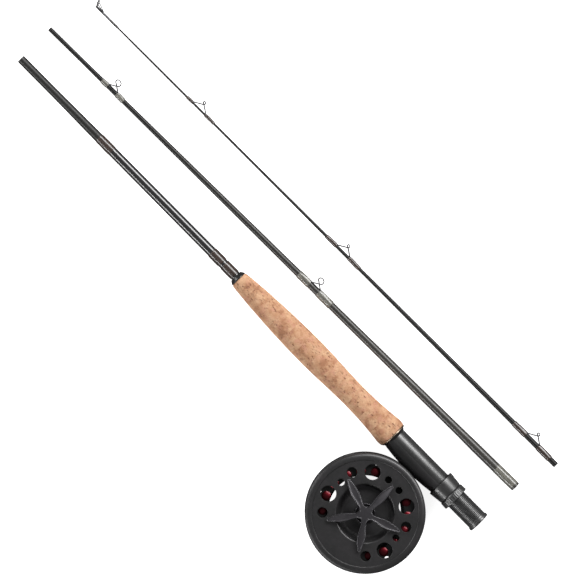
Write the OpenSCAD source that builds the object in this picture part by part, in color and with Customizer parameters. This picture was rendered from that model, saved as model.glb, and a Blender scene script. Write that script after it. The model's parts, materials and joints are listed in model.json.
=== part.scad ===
/* [Blank] */
// Length of the butt section, end cap to male ferrule
butt_len = 522; // [440:1:630]
// Length of the middle section
mid_len = 523; // [440:1:630]
// Length of the tip section's blank
tip_len = 518; // [440:1:630]
// Radius of the butt section's male ferrule
butt_male_r = 3.5; // [2.9:0.05:3.5]
// Radius of the middle section's male ferrule
mid_male_r = 1.8; // [1.4:0.05:1.8]
// Length of each male ferrule and of each socket that takes it
ferrule_len = 40; // [30:1:60]
// Radial play between a male ferrule and its socket
ferrule_play = 0.02; // [0.01:0.01:0.05]
// Radius of the butt blank at the butt end
butt_root_r = 4.7; // [4.4:0.05:5.2]
// Radius of the middle blank at its socket end
mid_root_r = 4; // [4:0.05:4.6]
// Radius of the tip blank at its socket end
tip_root_r = 2.36; // [2.36:0.02:2.9]
// Wall of the carbon tubes
tube_wall = 0.75; // [0.5:0.05:0.9]

/* [Grip] */
// Length of the cork grip
grip_len = 175; // [150:1:210]
// Radius at the grip's front end
grip_front_r = 7.2; // [6.6:0.1:8.4]
// Radius at the grip's palm swell
grip_swell_r = 11.6; // [10:0.1:12]
// Radius at the grip's waist
grip_waist_r = 10.2; // [10:0.1:11]
// Radius at the grip's rear flare
grip_flare_r = 12.6; // [12.2:0.1:14]
// Number of cork rings glued into the grip
cork_count = 12; // [8:2:16]

/* [Reel seat] */
// Length of the reel seat behind the grip
seat_len = 99; // [88:1:115]
// Radius of the seat's barrel
seat_r = 9.05; // [8.2:0.05:9.3]
// Radius of the threaded tail
tail_r = 8.7; // [8:0.05:8.9]
// Pitch of the tail's thread
thread_pitch = 1.2; // [1:0.1:1.6]
// Length of the sliding hood
hood_len = 11.4; // [10:0.2:14]
// Length of the lock nut
nut_len = 6.2; // [5:0.2:8]
// Travel of the hood away from the reel foot
hood_travel = 14; // [8:1:18]

/* [Reel] */
// Outer radius of the reel frame
reel_r = 48.2; // [44:0.2:54]
// Distance from the reel's mid-plane to the outside of its back plate
back_face_z = 17; // [15:0.5:20]
// Distance from the reel's mid-plane to the outside of its front ring
front_face_z = 14; // [12:0.5:17]
// Distance from the seat's rear end to the reel's centre line
reel_x = 70.5; // [66:0.5:74]
// Number of arbor posts
post_count = 18; // [10:2:20]
// Radius of an arbor post
post_r = 2.5; // [1.8:0.1:3]
// Radius of the spindle
spindle_r = 3.5; // [3:0.1:3.8]
// Radius from the spool's axis to the handle
handle_arm_r = 37; // [34:0.5:38]
// Length of the handle knob
knob_len = 17; // [15:0.5:22]
// Radial running play of every turning piece
play = 0.05; // [0.03:0.01:0.08]

/* [Guides] */
// Wire radius of a snake guide
wire_r = 0.5; // [0.4:0.05:0.6]
// Span of a guide's loop on the tip section
tip_guide_span = 13.2; // [10:0.2:16]
// Span of a guide's loop on the middle section
mid_guide_span = 9.4; // [8:0.2:13]
// Radius of a guide's ring on the tip section
tip_ring_r = 1.1; // [0.9:0.1:2]
// Radius of a guide's ring on the middle section
mid_ring_r = 2.6; // [1.6:0.1:3]
// Height of a guide's wire above its feet on the tip section
tip_guide_rise = 6.9; // [5.5:0.1:9]
// Height of a guide's wire above its feet on the middle section
mid_guide_rise = 9.6; // [7:0.1:11.6]
// Thickness of a thread wrap
wrap_t = 0.36; // [0.2:0.02:0.5]

/* [Layout] */
// Distance from the butt section to the middle section at the ferrule end
mid_gap_front = 32.8; // [30:0.2:45]
// Distance from the butt section to the middle section at the butt end
mid_gap_rear = 39.6; // [34:0.2:50]
// Distance from the butt section to the tip section at the ferrule end
tip_gap_front = 72.7; // [60:0.2:90]
// Distance from the butt section to the tip section at the butt end
tip_gap_rear = 75.1; // [60:0.2:95]
// How far the middle section's male ferrule reaches past the butt section's
mid_lead = 0.8; // [-20:0.2:20]
// How far the tip section's tip-top ends short of the butt section's ferrule
tip_lag = 14; // [-20:0.2:30]

/* [Hidden] */

$fn = 96;
eps = 0.01;
far = 400;

// Colours
carbon = [0.16, 0.16, 0.16];
carbon_gloss = [0.09, 0.09, 0.09];
cork = [0.78, 0.60, 0.46];
thread_brown = [0.25, 0.20, 0.18];
thread_grey = [0.33, 0.32, 0.30];
seat_grey = [0.22, 0.22, 0.22];
reel_grey = [0.19, 0.19, 0.20];
red = [0.50, 0.06, 0.09];
steel = [0.72, 0.72, 0.74];
brass = [0.80, 0.62, 0.30];
dark = [0.08, 0.08, 0.08];

// Tapers: [distance back from the ferrule or tip end, outer radius]
butt_taper = [
    [0, butt_male_r], [ferrule_len, butt_male_r], [100, 4.05], [butt_len, butt_root_r]
];
mid_taper = [
    [0, mid_male_r], [ferrule_len, mid_male_r],
    [mid_len - ferrule_len - 20, mid_root_r - 0.25],
    [mid_len - ferrule_len - 5, mid_root_r], [mid_len, mid_root_r]
];
tip_taper = [
    [0, 0.55], [45, 0.85], [185, 1.04],
    [tip_len - 52, tip_root_r - 0.2], [tip_len, tip_root_r]
];
function taper_r(taper, d) = lookup(d, taper);

// Grip
cap_flange_t = 2.8;
cap_plug_len = 5;
grip_rear_x = seat_len;
grip_front_x = seat_len + grip_len;
swell_d = 83;
waist_d = grip_len - 42.7;
flare_d = grip_len - 5;
cork_len = grip_len / cork_count;
swell_x = grip_front_x - swell_d;
flare_x = grip_front_x - flare_d;

function ease(t) = (1 - cos(180 * t)) / 2;
function cork_r(d) =
    d < swell_d ? grip_front_r + (grip_swell_r - grip_front_r) * sin(90 * pow(d / swell_d, 0.85))
    : d < waist_d ? grip_swell_r + (grip_waist_r - grip_swell_r) * ease((d - swell_d) / (waist_d - swell_d))
    : d < flare_d ? grip_waist_r + (grip_flare_r - grip_waist_r) * pow((d - waist_d) / (flare_d - waist_d), 2)
    : grip_flare_r - 0.6 * pow((d - flare_d) / (grip_len - flare_d), 2);

// Reel seat, measured forward from the rear end
trim_ring_t = 3.4;
hood_front_x = 44.8;
hood_rear_x = hood_front_x - hood_len;
nut_gap = 0.3;
nut_front_x = hood_rear_x - nut_gap;
nut_rear_x = nut_front_x - nut_len;
barrel_step_x = hood_rear_x + 1.2;
seat_bore_r = min(seat_r - 1.55, tail_r - 1.2);
hood_wall = 1.05;
foot_gap = 0.3;
foot_half = 32;
foot_tip_t = 0.7;
foot_hood_t = 1.4;
foot_mid_t = 2.9;
foot_sweep = 2.9;
foot_slack = 0.3;
hood_front_r = seat_r + foot_hood_t + foot_gap + hood_wall;
hood_rear_r = hood_front_r - 1.2;
pocket_in_x = reel_x - foot_half - 1;
front_pocket_x = reel_x + foot_half + 1;
fixed_hood_r = seat_r + foot_hood_t + foot_gap + 0.6;
fixed_hood_end_x = front_pocket_x + 3;

// Reel, measured from its own centre with +Z to the back plate
reel_y = seat_r + 2.15 + reel_r;
plate_t = 3;
plate_in_z = back_face_z - plate_t;
rim_wall = 2.8;
rim_band = 0.12 * reel_r;
rim_rise = 0.6;
rim_drop = 1.8;
rim_crown_r = reel_r - 0.7 * rim_band;
rim_foot_z = back_face_z - rim_drop;
// Outline of the raised band round the plate, from the wall up over its crown and down to the plate
rim_curve = concat(
    [for (a = [0:15:90])
        [rim_crown_r + (reel_r - rim_crown_r) * cos(a), rim_foot_z + (rim_drop + rim_rise) * sin(a)]],
    [for (a = [90:30:180])
        [reel_r - rim_band + 0.8 + 0.8 * cos(a), back_face_z + rim_rise * sin(a)]]
);
dish_lip_r = 0.47 * reel_r;
dish_r = 0.37 * reel_r;
dish_floor_z = 10;
lip_round = 1.8;
bowl_z = back_face_z - 2.6;
// Outline of the bowl from its rounded lip to its floor
dish_curve = concat(
    [for (a = [90:-15:15])
        [dish_lip_r + lip_round * (1 - cos(a)), back_face_z - lip_round * (1 - sin(a))]],
    [for (t = [0:0.2:1])
        [dish_lip_r - 0.7 - (dish_lip_r - dish_r - 0.7) * t, bowl_z - (bowl_z - dish_floor_z) * sin(90 * t)]]
);
floor_t = 3;
cup_in_z = dish_floor_z - floor_t;
cup_out_r = dish_r + 2;
hole_r_big = 0.13 * reel_r;
hole_r_mid = 0.085 * reel_r;
hole_r_small = 0.058 * reel_r;
hole_chamfer = 0.5;
blind_depth = plate_t - 0.7;
// [angle from the rod's direction, pitch radius, hole radius, depth]; the pair by the rod is blind
plate_holes = [
    for (side = [-1, 1], h = [
        [10.5, 0.675, hole_r_small, blind_depth], [35, 0.695, hole_r_big, plate_t + 4],
        [63, 0.712, hole_r_mid, plate_t + 4], [83, 0.65, hole_r_small, plate_t + 4],
        [107, 0.69, hole_r_big, plate_t + 4], [134, 0.705, hole_r_mid, plate_t + 4]
    ]) [side * h[0], h[1] * reel_r, h[2], h[3]]
];
front_ring_t = 3;
pillar_r = 2.2;
pillar_angles = [-152, -60, 60, 152];
foot_block_w = 20;
foot_pad_half_z = 9;
foot_pad_t = 1.2;

// Spool
flange_r = reel_r - rim_wall - 0.9;
spool_face_z = -front_face_z;
spool_face_t = 2;
post_circle_r = 0.705 * reel_r;
post_phase = 11;
post_head_r = post_r + 1.3;
back_ring_t = 1.5;
back_ring_z = plate_in_z - 1.6 - back_ring_t;
back_ring_in_r = 0.64 * reel_r;
hub_bore_r = 10;
hub_r = 12;
hub_top_z = 2;
clutch_in_r = 7;
clutch_z0 = -8.4;
clutch_z1 = 1.6;
window_in_r = 0.5 * reel_r;
window_out_r = 0.605 * reel_r;
window_count = 6;
window_phase = 12;
window_spoke_w = 2.8;
port_count = 9;
port_r = 0.065 * reel_r;
port_circle_r = 0.41 * reel_r;
outer_port_r = 0.042 * reel_r;
outer_port_circle_r = 0.835 * reel_r;
cap_collar_r = 8;
cap_collar_wall = 1.5;
cap_collar_h = 2.5;

// Drag
thread_stub_r = 3;
plate_r = 13;
pressure_z = 5.4;
pressure_t = 1.4;
disc_t = 1;
rotor_t = 2;
rotor_tube_end_z = -8.8;
clip_t = 1.2;
pin_circle_r = 6.3;
pin_r = 1.1;
pin_phase = 30;
nut_h = 2.5;
washer_z = 12.9;
washer_h = 1.8;
knob_hub_r = 0.175 * reel_r;
knob_hub_z0 = 12.2;
knob_top_z = 24;
blade_t = 2.4;
blade_in_r = 0.08 * reel_r;
blade_out_r = 0.645 * reel_r;
blade_drop = 4.1;
blade_dome_r = (blade_out_r * blade_out_r + blade_drop * blade_drop) / (2 * blade_drop);
blade_w = 6.8;
blade_count = 5;

// Click
click_teeth = 40;
click_root_r = 12.9;
click_tip_r = 13.6;
click_z0 = -2.2;
click_t = 2;
click_post_r = 1.2;
click_post_circle_r = 17.9;
click_angle = 100;

// Handle
knob_gap = 1.2;
knob_z0 = spool_face_z - knob_gap;
knob_end_z = knob_z0 - knob_len;
knob_waist_r = 4.6;
knob_belly_r = 6.2;
knob_end_r = 4.2;
handle_stud_r = 2;
screw_head_r = 3;
screw_head_t = 1.4;

// How the butt section lies: nose down on the grip, rolled over onto the handle
pitch_down = asin((grip_flare_r - grip_swell_r) / (swell_x - flare_x));
rod_z_at_reel = grip_flare_r + (flare_x - reel_x) * sin(pitch_down);
knob_in_y = reel_y + handle_arm_r - knob_end_r;
roll = atan2(-knob_end_z, knob_in_y) - asin(rod_z_at_reel / norm([knob_end_z, knob_in_y]));

// How the loose sections lie: guides out to the side, ends on the floor
socket_wrap_t = 0.15;
mid_front_z = mid_male_r + 0.05;
mid_rear_z = mid_root_r + socket_wrap_t;
tip_axis_z = tip_root_r + wrap_t;
mid_guide_lift = 24;
tip_guide_lift = 12;
mid_front_x = butt_len + mid_lead;
tip_top_len = 15;
tip_front_x = butt_len - tip_lag;

// Guides: [distance back from the section's front end, front wrap, rear wrap]
mid_guides = [[70, 6.5, 8.2], [mid_len - 226.7, 12.2, 14.8]];
tip_guides = [[115, 7.4, 10.8], [277, 11.9, 12.5], [tip_len - 27.5, 13.9, 13.9]];
foot_w = 1.3;
foot_h = 0.62;
leg_side = 0.9;
tip_tube_r = 0.95;
tip_eye_r = 2.3;
tip_wire_r = 0.45;
tip_eye_lean = 25;
tip_brace_x = -7;
tip_brace_r = 0.35;

// Plan size, for putting the origin under the middle of the whole object
plan_max_x = mid_front_x;
plan_min_x = tip_front_x - tip_len;
plan_max_y = (reel_y + reel_r) * cos(roll) + front_face_z * sin(roll);
guide_reach = (wire_base(tip_root_r) + tip_guide_rise) * cos(tip_guide_lift) + wire_r;
plan_min_y = -tip_gap_rear - guide_reach;
origin_x = (plan_max_x + plan_min_x) / 2;
origin_y = (plan_max_y + plan_min_y) / 2;

// ---------------------------------------------------------------- helpers

// Turns a solid of revolution drawn up Z so that it lies along +X
module along_x(x = 0) {
    translate([x, 0, 0]) rotate([0, 90, 0]) children();
}

// Ring along Z between two radii
module ring_z(z0, z1, r_in, r_out) {
    translate([0, 0, z0]) difference() {
        cylinder(r = r_out, h = z1 - z0);
        translate([0, 0, -1]) cylinder(r = r_in, h = z1 - z0 + 2);
    }
}

// Cutter for a round hole through a face at height z, with a small chamfer at the face
module drill(r, z, depth, chamfer) {
    rotate_extrude($fn = 64) polygon([
        [0, z - depth], [r, z - depth], [r, z - chamfer], [r + chamfer, z],
        [r + chamfer, z + 1], [0, z + 1]
    ]);
}

// Stations of a taper between two distances, ends included
function stations(taper, d0, d1) = concat(
    [d0], [for (k = taper) if (k[0] > d0 + eps && k[0] < d1 - eps) k[0]], [d1]
);

// Solid of revolution about X, from points [x, r]
module turned_x(points) {
    rotate([0, 90, 0]) rotate_extrude() polygon([for (p = points) [p[1], p[0]]]);
}

// Sleeve of constant thickness on a taper; x runs from 0 at the front end back to -length
module taper_sleeve(taper, d0, d1, t) {
    s = stations(taper, d0, d1);
    n = len(s);
    turned_x(concat(
        [for (i = [0:n - 1]) [-s[i], taper_r(taper, s[i])]],
        [for (i = [n - 1:-1:0]) [-s[i], taper_r(taper, s[i]) + t]]
    ));
}

// Solid that fills a taper between two distances, grown outward by t
module taper_core(taper, d0, d1, t = 0) {
    s = stations(taper, d0, d1);
    turned_x(concat([[-d0, 0]], [for (d = s) [-d, taper_r(taper, d) + t]], [[-d1, 0]]));
}

// Puts the butt section down on the floor
module lay_down() {
    translate([-origin_x, -origin_y, 0])
        translate([flare_x, 0, grip_flare_r])
            rotate([0, pitch_down, 0])
                translate([-flare_x, 0, 0])
                    rotate([roll, 0, 0])
                        children();
}

// Butt section parts measured back from its male ferrule
module from_ferrule() {
    lay_down() translate([butt_len, 0, 0]) children();
}

// Reel parts, from the reel's centre
module at_reel() {
    lay_down() translate([reel_x, reel_y, 0]) children();
}

// Click parts, from the pawl's post
module at_click() {
    at_reel() rotate([0, 0, click_angle]) translate([0, -click_post_circle_r, 0]) children();
}

// Puts the middle section down beside the butt section
module lay_mid() {
    run = mid_len;
    translate([mid_front_x - origin_x, -mid_gap_front - origin_y, mid_front_z])
        rotate([0, 0, atan((mid_gap_rear - mid_gap_front) / run)])
            rotate([0, -asin((mid_front_z - mid_rear_z) / run), 0])
                children();
}

// Puts the tip section down beside the middle section
module lay_tip() {
    translate([tip_front_x - origin_x, -tip_gap_front - origin_y, tip_axis_z])
        rotate([0, 0, atan((tip_gap_rear - tip_gap_front) / tip_len)])
            children();
}

// ---------------------------------------------------------------- butt section

module butt_blank() {
    tail_d = butt_len - cap_flange_t - cap_plug_len - 0.4;
    color(carbon_gloss) from_ferrule() turned_x(concat(
        [for (d = stations(butt_taper, 0, tail_d)) [-d, taper_r(butt_taper, d)]],
        [[-tail_d, taper_r(butt_taper, tail_d) - tube_wall], [0, butt_male_r - tube_wall]]
    ));
}

module ferrule_wrap() {
    color(thread_brown) from_ferrule() taper_sleeve(butt_taper, 90, 104, 0.15);
}

module trim_wraps() {
    front_d = butt_len - grip_front_x;
    color(thread_brown) from_ferrule() {
        taper_sleeve(butt_taper, front_d - 30.6, front_d - 18.4, wrap_t);
        taper_sleeve(butt_taper, front_d - 16.6, front_d - 4.4, wrap_t);
    }
}

module winding_check() {
    front_d = butt_len - grip_front_x;
    color(dark) from_ferrule() taper_sleeve(butt_taper, front_d - 2, front_d, 2.1);
}

// One cork ring, whose outside follows the grip's outline
module cork_ring(i) {
    steps = 6;
    d0 = i * cork_len;
    base_d = butt_len - grip_front_x;
    hood_d = grip_front_x - fixed_hood_end_x;
    bevel = 0.9;
    front = base_d + d0;
    outer = [for (k = [0:steps]) let (d = d0 + cork_len * k / steps)
        [-(base_d + d), cork_r(d) - (d < eps ? bevel : 0)]];
    color(cork) from_ferrule() difference() {
        turned_x(concat([[-front, 0]], outer, [[-(front + cork_len), 0]]));
        taper_core(butt_taper, front - 1, front + cork_len + 1);
        if (d0 + cork_len > hood_d) along_x(-(base_d + grip_len) - 1)
            cylinder(r = fixed_hood_r, h = grip_len - hood_d + 1);
    }
}

module cork_rings_odd() {
    for (i = [0:2:cork_count - 1]) cork_ring(i);
}

module cork_rings_even() {
    for (i = [1:2:cork_count - 1]) cork_ring(i);
}

// Room for the foot's front end, cut only on the side towards the reel
module foot_pocket() {
    intersection() {
        turned_x([
            [grip_rear_x - trim_ring_t - 1, 0],
            [grip_rear_x - trim_ring_t - 1, seat_r + foot_hood_t + foot_gap],
            [grip_rear_x, seat_r + foot_hood_t + foot_gap],
            [front_pocket_x, seat_r + foot_tip_t + foot_gap], [front_pocket_x, 0]
        ]);
        foot_side(foot_slack);
    }
}

module seat_trim_ring() {
    rear_x = grip_rear_x - trim_ring_t;
    color(dark) lay_down() difference() {
        turned_x([
            [rear_x, seat_r], [rear_x, seat_r + 0.2], [rear_x + 0.4, seat_r + 0.5],
            [grip_rear_x - 0.4, fixed_hood_r + 0.1], [grip_rear_x, fixed_hood_r],
            [grip_rear_x, seat_r]
        ]);
        foot_pocket();
    }
}

module fixed_hood() {
    color(seat_grey) lay_down() difference() {
        turned_x([
            [grip_rear_x, seat_r], [grip_rear_x, fixed_hood_r],
            [fixed_hood_end_x, fixed_hood_r], [fixed_hood_end_x, seat_r]
        ]);
        foot_pocket();
    }
}

// Barrel with its threaded tail
module seat_barrel() {
    thread_len = barrel_step_x - cap_flange_t - 2;
    turns = floor(thread_len / thread_pitch);
    depth = 0.45;
    tail = concat([[cap_flange_t, tail_r]], [
        for (i = [0:turns - 1], c = [[0.1, 0], [0.45, -depth], [0.55, -depth], [0.9, 0]])
            [cap_flange_t + 1 + (i + c[0]) * thread_pitch, tail_r + c[1]]
    ], [[barrel_step_x, tail_r]]);
    color(seat_grey) lay_down() turned_x(concat(
        [[cap_flange_t, seat_bore_r]], tail,
        [[barrel_step_x, seat_r], [fixed_hood_end_x, seat_r], [fixed_hood_end_x, seat_bore_r]]
    ));
}

module seat_bushes() {
    bush_len = 9;
    color(cork) for (x = [12, 50, fixed_hood_end_x - bush_len - 1])
        lay_down() difference() {
            along_x(x) cylinder(r = seat_bore_r, h = bush_len);
            translate([butt_len, 0, 0])
                taper_core(butt_taper, butt_len - x - bush_len - 1, butt_len - x + 1);
        }
}

module sliding_hood() {
    bore = seat_r + play;
    color(seat_grey) lay_down() turned_x([
        [hood_rear_x, bore], [hood_rear_x, hood_rear_r - 0.3], [hood_rear_x + 0.3, hood_rear_r],
        [hood_front_x - 0.4, hood_front_r], [hood_front_x, hood_front_r - 0.3],
        [hood_front_x, seat_r + foot_hood_t + foot_gap],
        [pocket_in_x, seat_r + foot_tip_t + foot_gap], [pocket_in_x, bore]
    ]);
}

module lock_nut() {
    flutes = 24;
    mid_r = hood_rear_r + 0.75;
    color(seat_grey) lay_down() difference() {
        turned_x([
            [nut_rear_x, tail_r + play], [nut_rear_x, mid_r - 0.3], [nut_rear_x + 0.4, mid_r],
            [nut_front_x - 1.2, mid_r - 0.15], [nut_front_x, hood_rear_r - 0.1],
            [nut_front_x, tail_r + play]
        ]);
        for (i = [0:flutes - 1]) rotate([i * 360 / flutes, 0, 0])
            translate([nut_rear_x - 1, 0, mid_r + 0.45]) rotate([0, 90, 0])
                cylinder(r = 0.7, h = nut_len - 0.6, $fn = 24);
    }
}

module butt_cap() {
    color(seat_grey) lay_down() turned_x([
        [0, 0], [0, tail_r + 0.2], [0.5, tail_r + 0.6], [cap_flange_t - 0.4, tail_r + 0.6],
        [cap_flange_t, tail_r + 0.3], [cap_flange_t, seat_bore_r],
        [cap_flange_t + cap_plug_len, seat_bore_r], [cap_flange_t + cap_plug_len, 0]
    ]);
}

// ---------------------------------------------------------------- reel foot and frame

// Round limit of the foot's sides, so that they run out onto the barrel
module foot_side(grow = 0) {
    translate([0, foot_sweep, 0]) along_x() cylinder(r = seat_r + grow, h = far);
}

// Saddle that the hoods hold against the barrel, hollowed for the frame above it
module reel_foot() {
    outline = [
        [reel_x - foot_half, foot_tip_t], [reel_x - foot_half + 6.6, foot_hood_t - 0.1],
        [reel_x - 17, 2.3], [reel_x - 9, foot_mid_t], [reel_x + 9, foot_mid_t],
        [reel_x + 17, 2.3], [reel_x + foot_half - 6.6, foot_hood_t - 0.1],
        [reel_x + foot_half, foot_tip_t]
    ];
    color(reel_grey) difference() {
        lay_down() intersection() {
            turned_x(concat(
                [[reel_x - foot_half, seat_r]],
                [for (p = outline) [p[0], seat_r + p[1]]],
                [[reel_x + foot_half, seat_r]]
            ));
            foot_side();
        }
        at_reel() translate([0, 0, -far / 2]) cylinder(r = reel_r, h = far);
        foot_screw_shape(0.02, 0);
    }
}

// Two screws through the frame's foot block into the foot
module foot_screw_shape(grow, head) {
    screw_r = 1.25;
    in_y = -reel_r + 4.4;
    at_reel() for (x = [-6, 6]) translate([x, -reel_r - 1.6, 0]) rotate([-90, 0, 0]) {
        cylinder(r = screw_r + grow, h = 1.6 + reel_r + in_y, $fn = 48);
        if (head > 0) translate([0, 0, 1.6 + reel_r + in_y]) cylinder(r = 2.3, h = head, $fn = 48);
    }
}

module foot_screws() {
    color(steel) foot_screw_shape(0, 1.2);
}

// Frame: dished back plate, cage pillars, foot block and front ring in one casting
module reel_frame() {
    inner_r = reel_r - rim_wall;
    color(reel_grey) difference() {
        at_reel() difference() {
            union() {
                rotate_extrude($fn = 128) polygon([
                    [0, cup_in_z], [cup_out_r, cup_in_z], [cup_out_r + 1, cup_in_z + 1],
                    [dish_lip_r + 2.4, plate_in_z], [inner_r, plate_in_z],
                    [inner_r, plate_in_z - 5], [reel_r, plate_in_z - 5],
                    for (p = rim_curve) p,
                    for (p = dish_curve) p, [0, dish_floor_z]
                ]);
                ring_z(-front_face_z, -front_face_z + front_ring_t, inner_r, reel_r);
                intersection() {
                    ring_z(-front_face_z + 1, plate_in_z, inner_r, reel_r);
                    for (a = pillar_angles) rotate([0, 0, a]) translate([0, -reel_r, -far / 2])
                        cylinder(r = pillar_r * 1.6, h = far);
                }
                intersection() {
                    union() {
                        ring_z(-front_face_z + 1, plate_in_z, inner_r, reel_r);
                        ring_z(-foot_pad_half_z, foot_pad_half_z, inner_r - foot_pad_t, reel_r);
                    }
                    translate([-foot_block_w / 2, -reel_r - 1, -far / 2]) cube([foot_block_w, 12, far]);
                }
            }
            for (h = plate_holes) rotate([0, 0, h[0]]) translate([0, -h[1], 0])
                drill(h[2], back_face_z, h[3], hole_chamfer);
            translate([0, 0, cup_in_z - 1]) cylinder(r = thread_stub_r, h = floor_t + 2);
            for (i = [0:2]) rotate([0, 0, pin_phase + 120 * i]) translate([pin_circle_r, 0, cup_in_z - 1])
                cylinder(r = pin_r + 0.02, h = floor_t + 2, $fn = 48);
            rotate([0, 0, click_angle]) translate([0, -click_post_circle_r, cup_in_z - 1])
                cylinder(r = click_post_r, h = 3, $fn = 48);
        }
        foot_screw_shape(0.02, 2.5);
    }
}

// ---------------------------------------------------------------- spindle and drag

module spindle() {
    collar_z = rotor_tube_end_z - disc_t - clip_t;
    groove = 0.5;
    color(steel) at_reel() rotate_extrude() polygon([
        [0, -front_face_z + 0.4], [spindle_r - 0.4, -front_face_z + 0.4],
        [spindle_r, -front_face_z + 0.8], [spindle_r, collar_z],
        [spindle_r - groove, collar_z], [spindle_r - groove, collar_z + clip_t],
        [spindle_r, collar_z + clip_t], [spindle_r, cup_in_z], [thread_stub_r, cup_in_z],
        [thread_stub_r, knob_top_z - 4.4], [thread_stub_r - 0.5, knob_top_z - 3.9],
        [0, knob_top_z - 3.9]
    ]);
}

// Lock nut that holds the spindle to the frame, under the drag knob
module spindle_nut() {
    color(steel) at_reel() difference() {
        translate([0, 0, dish_floor_z]) cylinder(r = 5, h = nut_h, $fn = 6);
        translate([0, 0, dish_floor_z - 1]) cylinder(r = thread_stub_r, h = nut_h + 2);
    }
}

module spindle_clip() {
    z0 = rotor_tube_end_z - disc_t - clip_t;
    color(steel) at_reel() difference() {
        ring_z(z0, z0 + clip_t, spindle_r - 0.5, 6);
        translate([-0.8, 0, z0 - 1]) cube([1.6, 10, clip_t + 2]);
    }
}

// Five leaf blades arched over the dish, on a hub that screws down the spindle
module drag_knob() {
    blade_l = blade_out_r - blade_in_r;
    arc_r = (blade_l * blade_l + blade_w * blade_w) / (4 * blade_w);
    dome_z = knob_top_z - blade_dome_r;
    color(reel_grey) at_reel() difference() {
        union() {
            for (i = [0:blade_count - 1]) rotate([0, 0, i * 360 / blade_count]) intersection() {
                translate([0, 0, dome_z]) difference() {
                    sphere(r = blade_dome_r);
                    sphere(r = blade_dome_r - blade_t);
                }
                leaf_prism(arc_r, (blade_in_r + blade_out_r) / 2);
            }
            rotate_extrude() polygon([
                [0, knob_hub_z0], [knob_hub_r - 0.3, knob_hub_z0], [knob_hub_r, knob_hub_z0 + 0.3],
                [knob_hub_r, knob_top_z - 6], [knob_hub_r - 1.4, knob_top_z - 4.8],
                [blade_in_r + 1.4, knob_top_z - 0.9], [blade_in_r, knob_top_z - 0.4],
                [0, knob_top_z - 0.2]
            ]);
        }
        translate([0, 0, knob_hub_z0 - 1]) {
            cylinder(r = thread_stub_r + play, h = knob_top_z - knob_hub_z0 - 1.6);
            cylinder(r = knob_hub_r - 0.7, h = washer_z + washer_h + play - knob_hub_z0 + 1);
        }
    }
}

// Upright leaf-shaped prism between two arcs, its middle at the given radius
module leaf_prism(arc_r, mid_r) {
    intersection() {
        translate([blade_w / 2 - arc_r, -mid_r, 0]) cylinder(r = arc_r, h = 40, $fn = 192);
        translate([arc_r - blade_w / 2, -mid_r, 0]) cylinder(r = arc_r, h = 40, $fn = 192);
    }
}

module push_pins() {
    color(steel) at_reel() for (i = [0:2]) rotate([0, 0, pin_phase + 120 * i])
        translate([pin_circle_r, 0, pressure_z + pressure_t])
            cylinder(r = pin_r, h = washer_z - pressure_z - pressure_t, $fn = 48);
}

module spring_washers() {
    layers = 3;
    t = washer_h / layers;
    r_in = thread_stub_r + 0.3;
    r_out = knob_hub_r - 1.1;
    color(steel) at_reel() for (i = [0:layers - 1])
        translate([0, 0, washer_z + i * t]) rotate_extrude() polygon([
            [r_in, i % 2 == 0 ? 0.25 : 0], [r_out, i % 2 == 0 ? 0 : 0.25],
            [r_out, i % 2 == 0 ? t - 0.25 : t], [r_in, i % 2 == 0 ? t : t - 0.25]
        ]);
}

module pressure_plate() {
    color(steel) at_reel() ring_z(pressure_z, pressure_z + pressure_t, spindle_r, plate_r);
}

module drag_disc_outer() {
    color(brass) at_reel() ring_z(pressure_z - disc_t, pressure_z, 5, plate_r - 0.5);
}

module drag_hub() {
    top = pressure_z - disc_t;
    color(steel) at_reel() rotate_extrude() polygon([
        [spindle_r + play, rotor_tube_end_z], [clutch_in_r, rotor_tube_end_z],
        [clutch_in_r, top - rotor_t], [plate_r, top - rotor_t], [plate_r, top],
        [spindle_r + play, top]
    ]);
}

module drag_disc_inner() {
    color(brass) at_reel()
        ring_z(rotor_tube_end_z - disc_t, rotor_tube_end_z, spindle_r, clutch_in_r - 0.2);
}

module click_post() {
    head_z = click_z0 - 0.5;
    collar_z = click_z0 + click_t + 3;
    color(steel) at_click() rotate_extrude($fn = 48) polygon([
        [0, head_z - 0.8], [click_post_r + 0.7, head_z - 0.8], [click_post_r + 0.7, head_z],
        [click_post_r, head_z], [click_post_r, collar_z], [click_post_r + 1, collar_z],
        [click_post_r + 1, cup_in_z], [click_post_r, cup_in_z], [click_post_r, cup_in_z + 2],
        [0, cup_in_z + 2]
    ]);
}

// Pawl that rides on the click gear and springs back to the middle
module click_pawl() {
    reach = click_post_circle_r - click_tip_r - 0.12;
    color(steel) at_click() translate([0, 0, click_z0]) difference() {
        union() {
            cylinder(r = 2.4, h = click_t, $fn = 48);
            linear_extrude(click_t) polygon([[-2, 0.6], [2, 0.6], [0.35, reach], [-0.35, reach]]);
        }
        translate([0, 0, -1]) cylinder(r = click_post_r + play, h = click_t + 2, $fn = 48);
    }
}

module click_spring() {
    coil_wire = 0.3;
    color(steel) at_click() for (i = [0:2])
        translate([0, 0, click_z0 + click_t + 0.5 + i * 0.75]) rotate_extrude()
            translate([click_post_r + 0.7, 0]) circle(r = coil_wire, $fn = 24);
}

// ---------------------------------------------------------------- spool

// Cuts one hole for each arbor post or port round the spool
module round_holes(count, phase, circle_r, r, z, h) {
    for (i = [0:count - 1]) rotate([0, 0, phase + i * 360 / count])
        translate([0, -circle_r, z]) cylinder(r = r, h = h, $fn = 48);
}

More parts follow.
